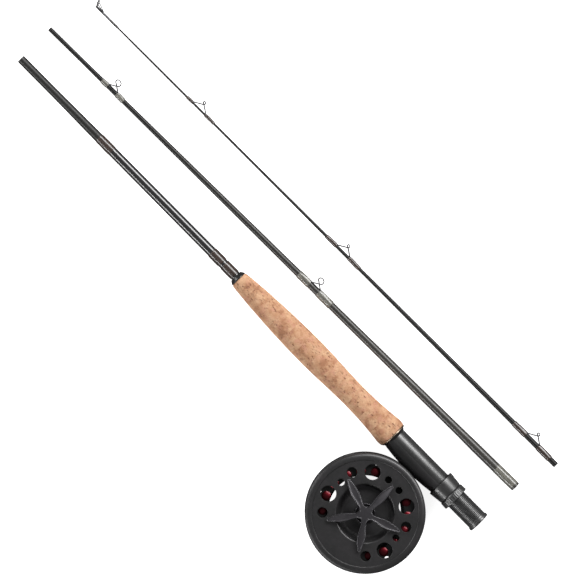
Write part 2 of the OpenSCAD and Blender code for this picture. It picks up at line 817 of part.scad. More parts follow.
// Handle-side flange with its ports, hub and the threaded collar for the cap
module spool_face() {
    z0 = spool_face_z;
    z1 = z0 + spool_face_t;
    collar_in_r = cap_collar_r - cap_collar_wall;
    color(reel_grey) at_reel() difference() {
        rotate_extrude($fn = 128) polygon([
            [collar_in_r, z0 - cap_collar_h], [cap_collar_r, z0 - cap_collar_h],
            [cap_collar_r, z0], [flange_r - 0.6, z0], [flange_r, z0 + 0.6], [flange_r, z1 - 0.3],
            [flange_r - 0.3, z1], [hub_r + 1.5, z1], [hub_r, z1 + 1.5], [hub_r, hub_top_z],
            [hub_bore_r, hub_top_z], [hub_bore_r, clutch_z0], [cap_collar_r, clutch_z0],
            [cap_collar_r, z0 + 0.4], [collar_in_r, z0 + 0.4]
        ]);
        difference() {
            ring_z(z0 - 1, z1 + 1, window_in_r, window_out_r);
            for (i = [0:window_count - 1]) rotate([0, 0, window_phase + i * 360 / window_count])
                translate([-window_spoke_w / 2, -far, z0 - 2]) cube([window_spoke_w, far, 10]);
        }
        round_holes(port_count, 0, port_circle_r, port_r, z0 - 1, spool_face_t + 2);
        round_holes(post_count, post_phase, outer_port_circle_r, outer_port_r, z0 - 1, spool_face_t + 2);
        round_holes(post_count, post_phase, post_circle_r, post_r, z0 + 0.8, 10);
        round_holes(2, 0, handle_arm_r, handle_stud_r, z0 - 1, spool_face_t + 2);
    }
}

module spool_back_ring() {
    z0 = back_ring_z;
    z1 = z0 + back_ring_t;
    color(reel_grey) at_reel() difference() {
        rotate_extrude($fn = 128) polygon([
            [back_ring_in_r, z0], [flange_r - 0.3, z0], [flange_r, z0 + 0.3], [flange_r, z1 - 0.6],
            [flange_r - 0.6, z1], [back_ring_in_r + 0.4, z1], [back_ring_in_r, z1 - 0.4]
        ]);
        round_holes(post_count, post_phase, post_circle_r, post_r, z0 - 1, back_ring_t + 2);
        round_holes(post_count, post_phase, outer_port_circle_r, outer_port_r, z0 - 1, back_ring_t + 2);
    }
}

// Posts that carry the line, with domed heads on the back ring
module arbor_posts() {
    head_z = back_ring_z + back_ring_t;
    head_h = 1;
    dome = (post_head_r * post_head_r + head_h * head_h) / (2 * head_h);
    color(red) at_reel() for (i = [0:post_count - 1]) rotate([0, 0, post_phase + i * 360 / post_count])
        translate([0, -post_circle_r, 0]) {
            translate([0, 0, spool_face_z + 0.8])
                cylinder(r = post_r, h = head_z - spool_face_z - 0.8 + eps, $fn = 48);
            intersection() {
                translate([0, 0, head_z + head_h - dome]) sphere(r = dome, $fn = 64);
                translate([0, 0, head_z]) cylinder(r = post_head_r + 1, h = head_h + 1, $fn = 48);
            }
        }
}

module one_way_clutch() {
    color(steel) at_reel() ring_z(clutch_z0, clutch_z1, clutch_in_r + play, hub_bore_r);
}

module click_gear() {
    tooth = 360 / click_teeth;
    color(brass) at_reel() translate([0, 0, click_z0]) difference() {
        linear_extrude(click_t) polygon([
            for (i = [0:click_teeth - 1], k = [[0, click_root_r], [0.5, click_tip_r]])
                let (a = (i + k[0]) * tooth + click_angle - 90) [k[1] * cos(a), k[1] * sin(a)]
        ]);
        translate([0, 0, -1]) cylinder(r = hub_r, h = click_t + 2);
    }
}

module spool_bearing() {
    collar_z = rotor_tube_end_z - disc_t - clip_t;
    color(steel) at_reel()
        ring_z(spool_face_z + 0.4, collar_z - 0.3, spindle_r + play, cap_collar_r);
}

// Seal under the cap's rim; it rises with the cap but does not turn
module cap_seal() {
    color(dark) at_reel()
        ring_z(spool_face_z - 0.3, spool_face_z, cap_collar_r + 0.2, cap_collar_r + 2);
}

module spool_cap() {
    rim_z = spool_face_z - 0.3;
    top_z = spool_face_z - cap_collar_h - 1.3;
    flutes = 20;
    out_r = cap_collar_r + 2.2;
    color(reel_grey) at_reel() difference() {
        rotate_extrude() polygon([
            [cap_collar_r + play, rim_z], [out_r, rim_z], [out_r, top_z + 0.8],
            [out_r - 0.8, top_z], [0, top_z], [0, top_z + 1], [cap_collar_r + play, top_z + 1]
        ]);
        for (i = [0:flutes - 1]) rotate([0, 0, i * 360 / flutes])
            translate([out_r + 0.35, 0, top_z - 1]) cylinder(r = 0.7, h = 3.2, $fn = 24);
    }
}

// Stud that the handle knob turns on, riveted through the spool face
module handle_post() {
    end_z = knob_end_z + 0.3 + screw_head_t;
    color(steel) at_reel() translate([0, handle_arm_r, 0]) difference() {
        rotate_extrude() polygon([
            [0, end_z], [handle_stud_r, end_z], [handle_stud_r, spool_face_z - 0.9],
            [handle_stud_r + 1.4, spool_face_z - 0.9], [handle_stud_r + 1.4, spool_face_z],
            [handle_stud_r, spool_face_z], [handle_stud_r, spool_face_z + spool_face_t],
            [0, spool_face_z + spool_face_t]
        ]);
        translate([0, 0, end_z - 1]) cylinder(r = 1, h = 7, $fn = 48);
    }
}

module handle_knob() {
    steps = 12;
    head_gap = 0.2;
    seat_z = knob_end_z + 0.3 + screw_head_t + head_gap;
    function knob_r(t) = knob_waist_r + (knob_end_r + 0.6 - knob_waist_r) * t
        + (knob_belly_r - knob_waist_r) * sin(180 * pow(t, 1.25));
    color(dark) at_reel() translate([0, handle_arm_r, 0]) rotate_extrude() polygon(concat(
        [[handle_stud_r + play, knob_z0], [knob_waist_r - 0.5, knob_z0]],
        [for (i = [0:steps]) let (t = i / steps)
            [knob_r(t), knob_z0 - 0.5 - (knob_len - 1.1) * t]],
        [[knob_end_r, knob_end_z], [screw_head_r + 0.3, knob_end_z],
         [screw_head_r + 0.3, seat_z], [handle_stud_r + play, seat_z]]
    ));
}

module handle_screw() {
    head_z = knob_end_z + 0.3;
    color(steel) at_reel() translate([0, handle_arm_r, head_z]) difference() {
        union() {
            cylinder(r = screw_head_r, h = screw_head_t, $fn = 48);
            translate([0, 0, screw_head_t - eps]) cylinder(r = 1, h = 5, $fn = 48);
        }
        translate([0, 0, -1]) cube([4.2, 0.7, 3], center = true);
    }
}

module counterweight() {
    color(steel) at_reel() translate([0, -handle_arm_r, 0]) rotate_extrude() polygon([
        [0, spool_face_z - 2.4], [4.2, spool_face_z - 2.4], [5, spool_face_z - 1.6],
        [5, spool_face_z], [handle_stud_r, spool_face_z],
        [handle_stud_r, spool_face_z + spool_face_t], [0, spool_face_z + spool_face_t]
    ]);
}

// ---------------------------------------------------------------- loose sections

// Swept wire: rings of `sides` points round each centre, joined into a closed tube
module wire_tube(centres, outward, r, sides = 8) {
    n = len(centres);
    function unit(v) = v / norm(v);
    function tangent(i) = unit(centres[min(i + 1, n - 1)] - centres[max(i - 1, 0)]);
    function side_a(i) = unit(outward[i] - tangent(i) * (outward[i] * tangent(i)));
    points = [for (i = [0:n - 1], k = [0:sides - 1])
        let (a = side_a(i), b = cross(tangent(i), a), w = 360 * k / sides)
            centres[i] + r * (cos(w) * a + sin(w) * b)];
    polyhedron(points, concat(
        [[for (k = [0:sides - 1]) k]],
        [for (i = [0:n - 2], k = [0:sides - 1]) [
            i * sides + k, (i + 1) * sides + k,
            (i + 1) * sides + (k + 1) % sides, i * sides + (k + 1) % sides
        ]],
        [[for (k = [sides - 1:-1:0]) (n - 1) * sides + k]]
    ));
}

// Height of a guide's wire where it leaves its feet, on a blank of radius base_r
function wire_base(base_r) = base_r + foot_h - wire_r + 0.12;

// Wire standing on the blank: two straight legs cross and run into a ring, whose ends lie side by side
module snake_loop(span, base_r, ring_r, rise) {
    leg_steps = 5;
    ring_steps = 18;
    z0 = wire_base(base_r);
    ring_z = rise - ring_r;
    slope = atan2(ring_z, span / 2) - asin(ring_r / norm([span / 2, ring_z]));
    join = [ring_r * sin(slope), ring_z - ring_r * cos(slope)];
    leg = [for (i = [0:leg_steps - 1]) let (t = i / leg_steps)
        [-span / 2 + (join[0] + span / 2) * t, -leg_side * sin(90 * t), z0 + join[1] * t]];
    ring = [for (i = [0:ring_steps]) let (t = i / ring_steps, a = slope - 90 + (360 - 2 * slope) * t)
        [ring_r * cos(a), leg_side * (2 * t - 1), z0 + ring_z + ring_r * sin(a)]];
    centres = concat(leg, ring, [for (i = [leg_steps - 1:-1:0]) [-leg[i][0], -leg[i][1], leg[i][2]]]);
    wire_tube(centres, [for (c = centres) [0, 1, 0]], wire_r);
}

// Flat feet of one guide, laid along the blank under its two wraps
module guide_feet(span, front_len, rear_len, base_r) {
    for (f = [[1, front_len], [-1, rear_len]]) {
        x0 = f[0] > 0 ? span / 2 - 0.6 : -span / 2 + 0.6 - f[1] + 0.4;
        translate([x0, -foot_w / 2, base_r - 0.6]) cube([f[1] - 0.4, foot_w, foot_h + 0.6]);
    }
}

// Distances that one guide's front and rear wraps cover
function wrap_spans(g, span) = [
    [g[0] - span / 2 - g[1], g[0] - span / 2], [g[0] + span / 2, g[0] + span / 2 + g[2]]
];

module snake_guides(taper, guides, span, lift, ring_r, rise) {
    for (g = guides) difference() {
        translate([-g[0], 0, 0]) rotate([90 - lift, 0, 0]) {
            snake_loop(span, taper_r(taper, g[0]), ring_r, rise);
            guide_feet(span, g[1], g[2], taper_r(taper, g[0]));
        }
        taper_core(taper, wrap_spans(g, span)[0][0] - 2, wrap_spans(g, span)[1][1] + 2);
    }
}

module guide_wraps(taper, guides, span, lift) {
    for (g = guides) difference() {
        for (f = wrap_spans(g, span)) {
            taper_core(taper, f[0], f[1], wrap_t);
            rotate([90 - lift, 0, 0]) translate([0, 0, taper_r(taper, f[0])]) along_x(-f[1] + 0.3)
                cylinder(r = foot_h + 0.3, h = f[1] - f[0] - 0.6, $fn = 48);
        }
        taper_core(taper, wrap_spans(g, span)[0][0] - 2, wrap_spans(g, span)[1][1] + 2);
        translate([-g[0], 0, 0]) rotate([90 - lift, 0, 0])
            guide_feet(span, g[1], g[2], taper_r(taper, g[0]));
    }
}

module mid_blank() {
    step_d = mid_len - ferrule_len;
    inner = taper_r(mid_taper, step_d - 20) - tube_wall;
    socket = butt_male_r + ferrule_play;
    color(carbon) lay_mid() turned_x(concat(
        [for (d = stations(mid_taper, 0, mid_len)) [-d, taper_r(mid_taper, d)]],
        [[-mid_len, socket], [-step_d, socket], [-step_d, inner], [0, mid_male_r - tube_wall]]
    ));
}

module mid_snake_guides() {
    color(steel) lay_mid()
        snake_guides(mid_taper, mid_guides, mid_guide_span, mid_guide_lift, mid_ring_r, mid_guide_rise);
}

module mid_guide_wraps() {
    color(thread_grey) lay_mid() guide_wraps(mid_taper, mid_guides, mid_guide_span, mid_guide_lift);
}

module mid_socket_wrap() {
    color(thread_grey) lay_mid() taper_sleeve(mid_taper, mid_len - 22, mid_len - 2, socket_wrap_t);
}

module tip_blank() {
    hollow_d = 185;
    step_d = tip_len - ferrule_len;
    socket = mid_male_r + ferrule_play;
    color(carbon) lay_tip() turned_x(concat(
        [[0, 0]],
        [for (d = stations(tip_taper, 0, tip_len)) [-d, taper_r(tip_taper, d)]],
        [[-tip_len, socket], [-step_d, socket], [-step_d, 1.15], [-hollow_d, 0.35], [-hollow_d, 0]]
    ));
}

module tip_snake_guides() {
    color(steel) lay_tip()
        snake_guides(tip_taper, tip_guides, tip_guide_span, tip_guide_lift, tip_ring_r, tip_guide_rise);
}

module tip_guide_wraps() {
    color(thread_brown) lay_tip() guide_wraps(tip_taper, tip_guides, tip_guide_span, tip_guide_lift);
}

module tip_top_tube() {
    color(steel) lay_tip() turned_x(concat(
        [[0.9, 0], [0.9, tip_tube_r - 0.2], [0.7, tip_tube_r], [-tip_top_len, tip_tube_r]],
        [for (d = [tip_top_len, 0]) [-d, taper_r(tip_taper, d)]],
        [[0, 0]]
    ));
}

// Round bar between two points
module bar(from, to, r) {
    v = to - from;
    translate(from) rotate([0, acos(v[2] / norm(v)), atan2(v[1], v[0])])
        cylinder(r = r, h = norm(v), $fn = 24);
}

// Wire eye leaning over the end of the tube, with its two braces
module tip_top_ring() {
    base = [0.4, 0, tip_tube_r + 0.25];
    eye = base + tip_eye_r * [sin(tip_eye_lean), 0, cos(tip_eye_lean)];
    color(steel) lay_tip() rotate([90 - tip_guide_lift, 0, 0]) difference() {
        union() {
            translate(eye) rotate([0, 90 + tip_eye_lean, 0]) rotate_extrude($fn = 48)
                translate([tip_eye_r, 0]) circle(r = tip_wire_r, $fn = 24);
            for (side = [-1, 1])
                bar([tip_brace_x, side * 0.4, tip_tube_r - 0.1], eye + [0, side * tip_eye_r, 0], tip_brace_r);
        }
        along_x(-tip_top_len) cylinder(r = tip_tube_r, h = tip_top_len + 0.7);
    }
}

module tip_top_wrap() {
    color(thread_brown) lay_tip() taper_sleeve(tip_taper, tip_top_len, tip_top_len + 9, wrap_t);
}

butt_blank();
ferrule_wrap();
trim_wraps();
winding_check();
cork_rings_odd();
cork_rings_even();
seat_trim_ring();
fixed_hood();
seat_barrel();
seat_bushes();
sliding_hood();
lock_nut();
butt_cap();
reel_foot();
foot_screws();
reel_frame();
spindle();
spindle_nut();
spindle_clip();
drag_knob();
push_pins();
spring_washers();
pressure_plate();
drag_disc_outer();
drag_disc_inner();
drag_hub();
click_post();
click_pawl();
click_spring();
spool_face();
spool_back_ring();
arbor_posts();
one_way_clutch();
click_gear();
spool_bearing();
spool_cap();
cap_seal();
handle_post();
handle_knob();
handle_screw();
counterweight();
mid_blank();
mid_snake_guides();
mid_guide_wraps();
mid_socket_wrap();
tip_blank();
tip_snake_guides();
tip_guide_wraps();
tip_top_tube();
tip_top_ring();
tip_top_wrap();
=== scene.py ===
"""Looks for a fly rod in three sections with its reel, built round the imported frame, in metres."""
import json
import math
import random

import bmesh
import bpy
import numpy as np
from mathutils import Matrix, Vector, noise

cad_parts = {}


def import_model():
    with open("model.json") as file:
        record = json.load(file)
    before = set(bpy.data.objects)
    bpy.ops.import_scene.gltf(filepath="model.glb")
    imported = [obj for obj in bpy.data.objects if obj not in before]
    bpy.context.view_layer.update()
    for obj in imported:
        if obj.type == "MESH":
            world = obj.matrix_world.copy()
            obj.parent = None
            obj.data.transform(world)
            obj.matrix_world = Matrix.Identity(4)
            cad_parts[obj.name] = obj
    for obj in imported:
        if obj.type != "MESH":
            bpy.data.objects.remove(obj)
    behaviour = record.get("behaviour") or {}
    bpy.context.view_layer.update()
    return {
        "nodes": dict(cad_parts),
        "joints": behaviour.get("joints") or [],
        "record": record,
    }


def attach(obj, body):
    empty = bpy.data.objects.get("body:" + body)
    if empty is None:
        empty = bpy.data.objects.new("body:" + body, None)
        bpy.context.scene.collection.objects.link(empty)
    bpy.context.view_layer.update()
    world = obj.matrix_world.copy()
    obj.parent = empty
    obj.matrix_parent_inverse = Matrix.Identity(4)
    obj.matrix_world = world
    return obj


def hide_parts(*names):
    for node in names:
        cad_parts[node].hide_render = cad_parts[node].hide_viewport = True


MM = 0.001
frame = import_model()
record = frame["record"]
joints = {j["name"]: j for j in frame["joints"]}
mounts = {m["name"]: m for m in record["mounts"]}
nodes = frame["nodes"]


# ---------------------------------------------------------------- local frames

def local_frame(origin, x_axis, up):
    """Frame with its X along x_axis and its Z as near to up as that allows."""
    x = Vector(x_axis).normalized()
    y = Vector(up).cross(x).normalized()
    matrix = Matrix((x, y, x.cross(y))).transposed().to_4x4()
    matrix.translation = origin
    return matrix


# Lengths of the three sections
BUTT_LENGTH, MID_LENGTH, TIP_LENGTH = 522, 523, 518
rod_axis = -Vector(joints["lock_nut_turn"]["axis"])
reel_axis = Vector(joints["spool_spin"]["axis"])
ferrule = mounts["butt_male_ferrule"]
half_ferrule = ferrule["dims"]["length_mm"] / 2
butt_end = Vector(ferrule["pos_m"]) - rod_axis * (BUTT_LENGTH - half_ferrule) * MM
mid_ferrule = mounts["mid_male_ferrule"]
mid_axis = Vector(mid_ferrule["axis"])
tip_socket = mounts["tip_socket"]
tip_axis = -Vector(tip_socket["axis"])

# Each has X along the rod: BUTT from the end cap, MID and TIP from the front end, REEL from its centre
BUTT = local_frame(butt_end, rod_axis, reel_axis)
REEL = local_frame(Vector(joints["spool_spin"]["pos_m"]), rod_axis, reel_axis)
MID = local_frame(Vector(mid_ferrule["pos_m"]) + mid_axis * half_ferrule * MM, mid_axis, (0, 0, 1))
TIP = local_frame(
    Vector(tip_socket["pos_m"]) + tip_axis * (TIP_LENGTH - half_ferrule) * MM, tip_axis, (0, 0, 1)
)


# ---------------------------------------------------------------- materials

# Scale of the wave texture that gives one band each metre
WAVE_SCALE = math.tau / 20


class Look:
    """A Principled material, with short ways to add the nodes that give it detail."""

    def __init__(self, name, **sockets):
        self.material = bpy.data.materials.new(name)
        self.material.use_nodes = True
        self.tree = self.material.node_tree
        self.shader = self.tree.nodes["Principled BSDF"]
        self.coords = self.add("TexCoord").outputs["Object"]
        self.normal = None
        self.set(**sockets)

    def set(self, **sockets):
        """Sets or links the shader's own sockets: base_color sets Base Color."""
        for name, value in sockets.items():
            socket = self.shader.inputs[name.replace("_", " ").title().replace("Ior", "IOR")]
            if isinstance(value, bpy.types.NodeSocket):
                self.tree.links.new(value, socket)
            else:
                socket.default_value = (*value, 1) if isinstance(value, tuple) else value
        return self

    def add(self, kind, inputs=None, **properties):
        node = self.tree.nodes.new("ShaderNode" + kind)
        for name, value in properties.items():
            setattr(node, name, value)
        for key, value in (inputs or {}).items():
            if isinstance(value, bpy.types.NodeSocket):
                self.tree.links.new(value, node.inputs[key])
            else:
                node.inputs[key].default_value = value
        return node

    def mapped(self, vector=None, **inputs):
        """Coordinates moved by Location or scaled by Scale, so that noise comes out long or short."""
        return self.add("Mapping", {"Vector": vector or self.coords, **inputs}).outputs["Vector"]

    def noise(self, size_mm, detail=3.0, roughness=0.55, vector=None, **inputs):
        wanted = {"Vector": vector or self.coords, "Scale": 1 / (size_mm * MM), "Detail": detail,
                  "Roughness": roughness, **inputs}
        return self.add("TexNoise", wanted).outputs["Fac"]

    def cells(self, size_mm, vector=None, feature="F1", **inputs):
        wanted = {"Vector": vector or self.coords, "Scale": 1 / (size_mm * MM), **inputs}
        return self.add("TexVoronoi", wanted, feature=feature).outputs["Distance"]

    def bands(self, pitch_mm, axis="X", distortion=0.0, vector=None):
        """Ridges across an axis, one each pitch."""
        wanted = {"Vector": vector or self.coords, "Scale": WAVE_SCALE / (pitch_mm * MM),
                  "Distortion": distortion, "Detail": 1.0}
        wave = self.add("TexWave", wanted, wave_type="BANDS", bands_direction=axis)
        return wave.outputs["Fac"]

    def ramp(self, value, *stops):
        """Colour ramp; each stop is (place, colour or grey)."""
        node = self.add("ValToRGB", {"Fac": value})
        elements = node.color_ramp.elements
        while len(elements) < len(stops):
            elements.new(0.5)
        for element, (place, colour) in zip(elements, stops):
            element.position = place
            element.color = (*colour, 1) if isinstance(colour, tuple) else (colour,) * 3 + (1,)
        return node.outputs["Color"]

    def mix(self, amount, first, second, blend="MIX"):
        node = self.add("Mix", data_type="RGBA", blend_type=blend)
        for index, value in ((0, amount), (6, first), (7, second)):
            if isinstance(value, bpy.types.NodeSocket):
                self.tree.links.new(value, node.inputs[index])
            else:
                node.inputs[index].default_value = (*value, 1) if isinstance(value, tuple) else value
        return node.outputs[2]

    def maths(self, operation, first, second=0.0):
        return self.add("Math", {0: first, 1: second}, operation=operation).outputs[0]

    def span(self, value, low, high, to_low=0.0, to_high=1.0):
        """value from low..high taken to to_low..to_high, and held there outside."""
        return self.add("MapRange", {"Value": value, "From Min": low, "From Max": high,
                                     "To Min": to_low, "To Max": to_high}).outputs["Result"]

    def axis(self, name, vector=None):
        """One of X, Y, Z of the object coordinates, in metres."""
        return self.add("SeparateXYZ", {0: vector or self.coords}).outputs[name]

    def bump(self, height, depth_mm, strength=1.0):
        inputs = {"Height": height, "Distance": depth_mm * MM, "Strength": strength}
        if self.normal is not None:
            inputs["Normal"] = self.normal
        self.normal = self.add("Bump", inputs).outputs["Normal"]
        self.set(normal=self.normal)
        return self


def metal(name, colour, roughness):
    """Machined metal: faint cloudy roughness over a very fine grain."""
    look = Look(name, base_color=colour, metallic=1.0)
    cloud = look.noise(9, 4)
    look.set(roughness=look.span(cloud, 0.3, 0.7, roughness * 0.85, roughness * 1.2))
    return look.bump(look.noise(0.35, 2), 0.006).material


def wire_look():
    """Dark plated guide wire with faint drawing marks."""
    look = Look("guide_wire", base_color=(0.085, 0.085, 0.09), metallic=1.0)
    marks = look.noise(0.3, 2)
    look.set(roughness=look.span(marks, 0.3, 0.7, 0.26, 0.40))
    return look.bump(marks, 0.004).material


def coated_metal(name, colour, tint, roughness):
    """Dark cast metal under a thin satin coat, a little worn and uneven."""
    look = Look(name, metallic=0.55, coat_weight=0.25, coat_roughness=0.28, specular_ior_level=0.5)
    cloud = look.noise(14, 4, 0.6)
    look.set(base_color=look.mix(look.span(cloud, 0.35, 0.7), colour, tint))
    fine = look.noise(1.6, 3)
    look.set(roughness=look.span(fine, 0.3, 0.7, roughness * 0.86, roughness * 1.14))
    return look.bump(look.noise(0.28, 2, 0.6), 0.012)


def frame_look(colour, tint):
    """The back plate, with painted shade: near black inside its ring of holes, below the flat face."""
    look = coated_metal("frame_grey", colour, tint, 0.40)
    to_node = nodes["reel_frame"].matrix_world.inverted()
    axis = (to_node.to_3x3() @ reel_axis).normalized()
    centre = to_node @ REEL.translation
    place = look.add("VectorMath", {0: look.coords, 1: centre}, operation="SUBTRACT").outputs[0]
    height = look.add("VectorMath", {0: place, 1: axis}, operation="DOT_PRODUCT").outputs["Value"]
    across = look.add("VectorMath", {0: place, 1: axis}, operation="CROSS_PRODUCT").outputs[0]
    radius = look.add("VectorMath", {0: across}, operation="LENGTH").outputs["Value"]
    face, inner, outer = 16.5 * MM, 24.5 * MM, 44.0 * MM
    # Painted shade: below the face and between these radii, the hole walls are painted near black, with less
    # shine and no coat
    hole_shade = look.maths("MULTIPLY", look.span(height, face - 0.5 * MM, face, 1.0, 0.0),
                      look.span(radius, inner - 0.2 * MM, inner))
    hole_shade = look.maths("MULTIPLY", hole_shade, look.span(radius, outer, outer + 0.4 * MM, 1.0, 0.0))
    plain = look.shader.inputs["Base Color"].links[0].from_socket
    look.set(base_color=look.mix(hole_shade, plain, (0.002, 0.002, 0.002)))
    look.set(specular_ior_level=look.span(hole_shade, 0, 1, 0.5, 0.05))
    return look.set(coat_weight=look.span(hole_shade, 0, 1, 0.25, 0.0)).material


def anodised_red():
    look = Look("anodised_red", base_color=(0.105, 0.006, 0.011), metallic=1.0, coat_weight=0.35,
                coat_roughness=0.16)
    look.set(roughness=look.span(look.noise(1.2, 3), 0.3, 0.7, 0.36, 0.48))
    return look.bump(look.noise(0.25, 2), 0.004).material


def satin_plastic(name, colour, tint, roughness, shine=0.5):
    """Moulded plastic with a fine even texture."""
    look = Look(name, specular_ior_level=shine)
    look.set(base_color=look.mix(look.span(look.noise(11, 4), 0.35, 0.7), colour, tint))
    look.set(roughness=look.span(look.noise(2.2, 3), 0.3, 0.7, roughness * 0.88, roughness * 1.12))
    return look.bump(look.noise(0.45, 3, 0.7), 0.02).material


def cork():
    """Cork: warm tan with darker and pinker patches, short dark pits and fine granules.

    The mesh's ring attribute shifts the pattern, so that no two rings match.
    """
    look = Look("cork", specular_ior_level=0.22)
    seed = look.add("Attribute", attribute_name="ring").outputs["Fac"]
    shift = look.add("CombineXYZ", {"X": look.maths("MULTIPLY", seed, 0.37),
                                    "Y": look.maths("MULTIPLY", seed, 0.71),
                                    "Z": look.maths("MULTIPLY", seed, 0.53)}).outputs[0]
    place = look.add("VectorMath", {0: look.coords, 1: shift}, operation="ADD").outputs[0]
    patches = look.noise(9, 5, 0.62, place)
    grain = look.noise(1.1, 5, 0.65, place)
    base = look.ramp(patches, (0.37, (0.29, 0.14, 0.078)), (0.48, (0.41, 0.228, 0.132)),
                     (0.60, (0.495, 0.307, 0.188)))
    elsewhere = look.mapped(place, Location=(0.4, 0.1, 0.2))
    blush = look.span(look.noise(6, 4, 0.6, elsewhere), 0.50, 0.66, 0.0, 0.6)
    base = look.mix(blush, base, (0.47, 0.235, 0.165))
    base = look.mix(look.span(grain, 0.42, 0.68, 0.0, 0.55), base, (0.34, 0.165, 0.085))
    tone = look.ramp(look.add("TexWhiteNoise", {"W": seed}, noise_dimensions="1D").outputs["Value"],
                     (0.0, (0.98, 0.97, 0.96)), (1.0, (1.01, 1.01, 1.0)))
    base = look.mix(1.0, base, tone, "MULTIPLY")
    long_way = look.mapped(place, Scale=(0.55, 1.0, 1.0))
    where = look.span(look.noise(8, 3, 0.6, place), 0.42, 0.57)
    specks = look.span(look.cells(2.1, long_way, Randomness=1.0), 0.24, 0.40, 1.0, 0.0)
    specks = look.maths("MULTIPLY", specks, look.span(look.noise(1.6, 3, 0.6, place), 0.42, 0.54))
    specks = look.maths("MULTIPLY", specks, where)
    streaks = look.span(look.noise(1.5, 4, 0.7, long_way), 0.57, 0.67)
    streaks = look.maths("MULTIPLY", streaks, look.span(where, 0, 1, 0.25, 1.0))
    dark = look.maths("MAXIMUM", specks, look.maths("MULTIPLY", streaks, 0.75))
    look.set(base_color=look.mix(look.maths("MULTIPLY", dark, 0.88), base, (0.135, 0.055, 0.03)))
    look.set(roughness=look.span(grain, 0.3, 0.7, 0.72, 0.9))
    look.bump(look.cells(0.42, place), 0.05, 0.5)
    look.bump(grain, 0.10, 0.6)
    return look.bump(look.maths("MULTIPLY", dark, -1.0), 0.30, 0.8).material


def thread(name, dark, light):
    """Thread wound side by side under clear epoxy: the ridges are under the gloss coat."""
    look = Look(name, coat_weight=1.0, coat_roughness=0.04, coat_ior=1.5, roughness=0.42)
    ridge = look.bands(0.17)
    uneven = look.noise(1.4, 3, 0.6, look.mapped(Scale=(0.25, 1, 1)))
    fibre = look.mix(look.span(uneven, 0.35, 0.68), dark, light)
    look.set(base_color=look.mix(look.span(ridge, 0.0, 0.55, 0.45, 0.0), fibre, (0.006, 0.005, 0.004)))
    look.bump(ridge, 0.05, 0.7)
    wave = look.add("Bump", {"Height": look.noise(5, 2), "Distance": 0.04 * MM, "Strength": 0.5})
    return look.set(coat_normal=wave.outputs["Normal"]).material


def carbon(name, colour, tint, roughness, coat, tape_mm=3.2, tape_depth=0.012, shine=0.55, front=None):
    """Carbon tube: faint helical tape marks from the curing wrap, with or without a gloss coat.

    front is the colour at the thin end, from where the tube gets lighter and shinier over 400 mm.
    """
    look = Look(name, coat_weight=coat, coat_roughness=0.05, specular_ior_level=shine)
    fibres = look.noise(0.5, 3, 0.6, look.mapped(Scale=(0.03, 1, 1)))
    base = look.mix(look.span(fibres, 0.35, 0.7), colour, tint)
    if front:
        near = look.span(look.axis("X"), -0.40, -0.05)
        base = look.mix(near, base, front)
        look.set(specular_ior_level=look.span(near, 0, 1, shine, 0.35 * shine))
    look.set(base_color=base)
    look.set(roughness=look.span(look.noise(3, 3), 0.3, 0.7, roughness * 0.85, roughness * 1.15))
    tape = look.bands(tape_mm, distortion=0.4)
    return look.bump(tape, tape_depth).material


def rubber():
    look = Look("rubber", base_color=(0.018, 0.018, 0.018), specular_ior_level=0.3)
    look.set(roughness=look.span(look.noise(2, 3), 0.3, 0.7, 0.62, 0.8))
    return look.bump(look.noise(0.4, 3), 0.02).material


LOOKS = {
    "blank_gloss": carbon("blank_gloss", (0.008, 0.008, 0.009), (0.014, 0.013, 0.013), 0.30, 1.0),
    "blank_matte": carbon("blank_matte", (0.011, 0.011, 0.0105), (0.020, 0.0195, 0.018), 0.40, 0.0,
                          tape_mm=2.6, tape_depth=0.03, shine=0.32),
    "blank_satin": carbon("blank_satin", (0.022, 0.0205, 0.018), (0.043, 0.040, 0.035), 0.33, 0.0,
                          front=(0.009, 0.009, 0.009)),
    "blank_dark": carbon("blank_dark", (0.004, 0.004, 0.004), (0.008, 0.0075, 0.007), 0.42, 0.0, shine=0.28),
    "thread_brown": thread("thread_brown", (0.013, 0.0055, 0.003), (0.038, 0.018, 0.011)),
    "thread_black": thread("thread_black", (0.006, 0.005, 0.0045), (0.014, 0.011, 0.010)),
    "thread_grey": thread("thread_grey", (0.075, 0.072, 0.060), (0.185, 0.178, 0.150)),
    "trim_black": satin_plastic("trim_black", (0.008, 0.008, 0.008), (0.014, 0.014, 0.014), 0.25),
    "trim_bronze": metal("trim_bronze", (0.40, 0.31, 0.23), 0.34),
    "cork": cork(),
    "seat_graphite": satin_plastic("seat_graphite", (0.012, 0.012, 0.012), (0.018, 0.018, 0.018), 0.36,
                                   shine=1.0),
    "reel_grey": coated_metal("reel_grey", (0.026, 0.026, 0.0265), (0.036, 0.034, 0.036), 0.40).material,
    "frame_grey": frame_look((0.026, 0.026, 0.0265), (0.036, 0.034, 0.036)),
    "spool_black": coated_metal("spool_black", (0.006, 0.006, 0.006), (0.009, 0.009, 0.009), 0.45).material,
    "knob_grey": coated_metal("knob_grey", (0.036, 0.034, 0.038), (0.050, 0.047, 0.052), 0.36).material,
    "knob_hub": coated_metal("knob_hub", (0.028, 0.026, 0.030), (0.036, 0.034, 0.038), 0.22).material,
    "anodised_red": anodised_red(),
    "drag_cork": cork(),
    "gear_brass": metal("gear_brass", (0.70, 0.50, 0.20), 0.28),
    "seal_rubber": rubber(),
    "handle_black": satin_plastic("handle_black", (0.012, 0.012, 0.012), (0.020, 0.020, 0.020), 0.32),
    "guide_wire": wire_look(),
    "steel": metal("steel", (0.62, 0.63, 0.65), 0.26),
}

# Looks that share a record slot with another one
# CAD nodes that wear something other than their slot's own look
LOOK_OF = {"spool_back_ring": "spool_black", "spool_face": "spool_black", "seat_trim_ring": "trim_black",
           "reel_frame": "frame_grey", "tip_top_tube": "guide_wire", "tip_top_ring": "guide_wire"}

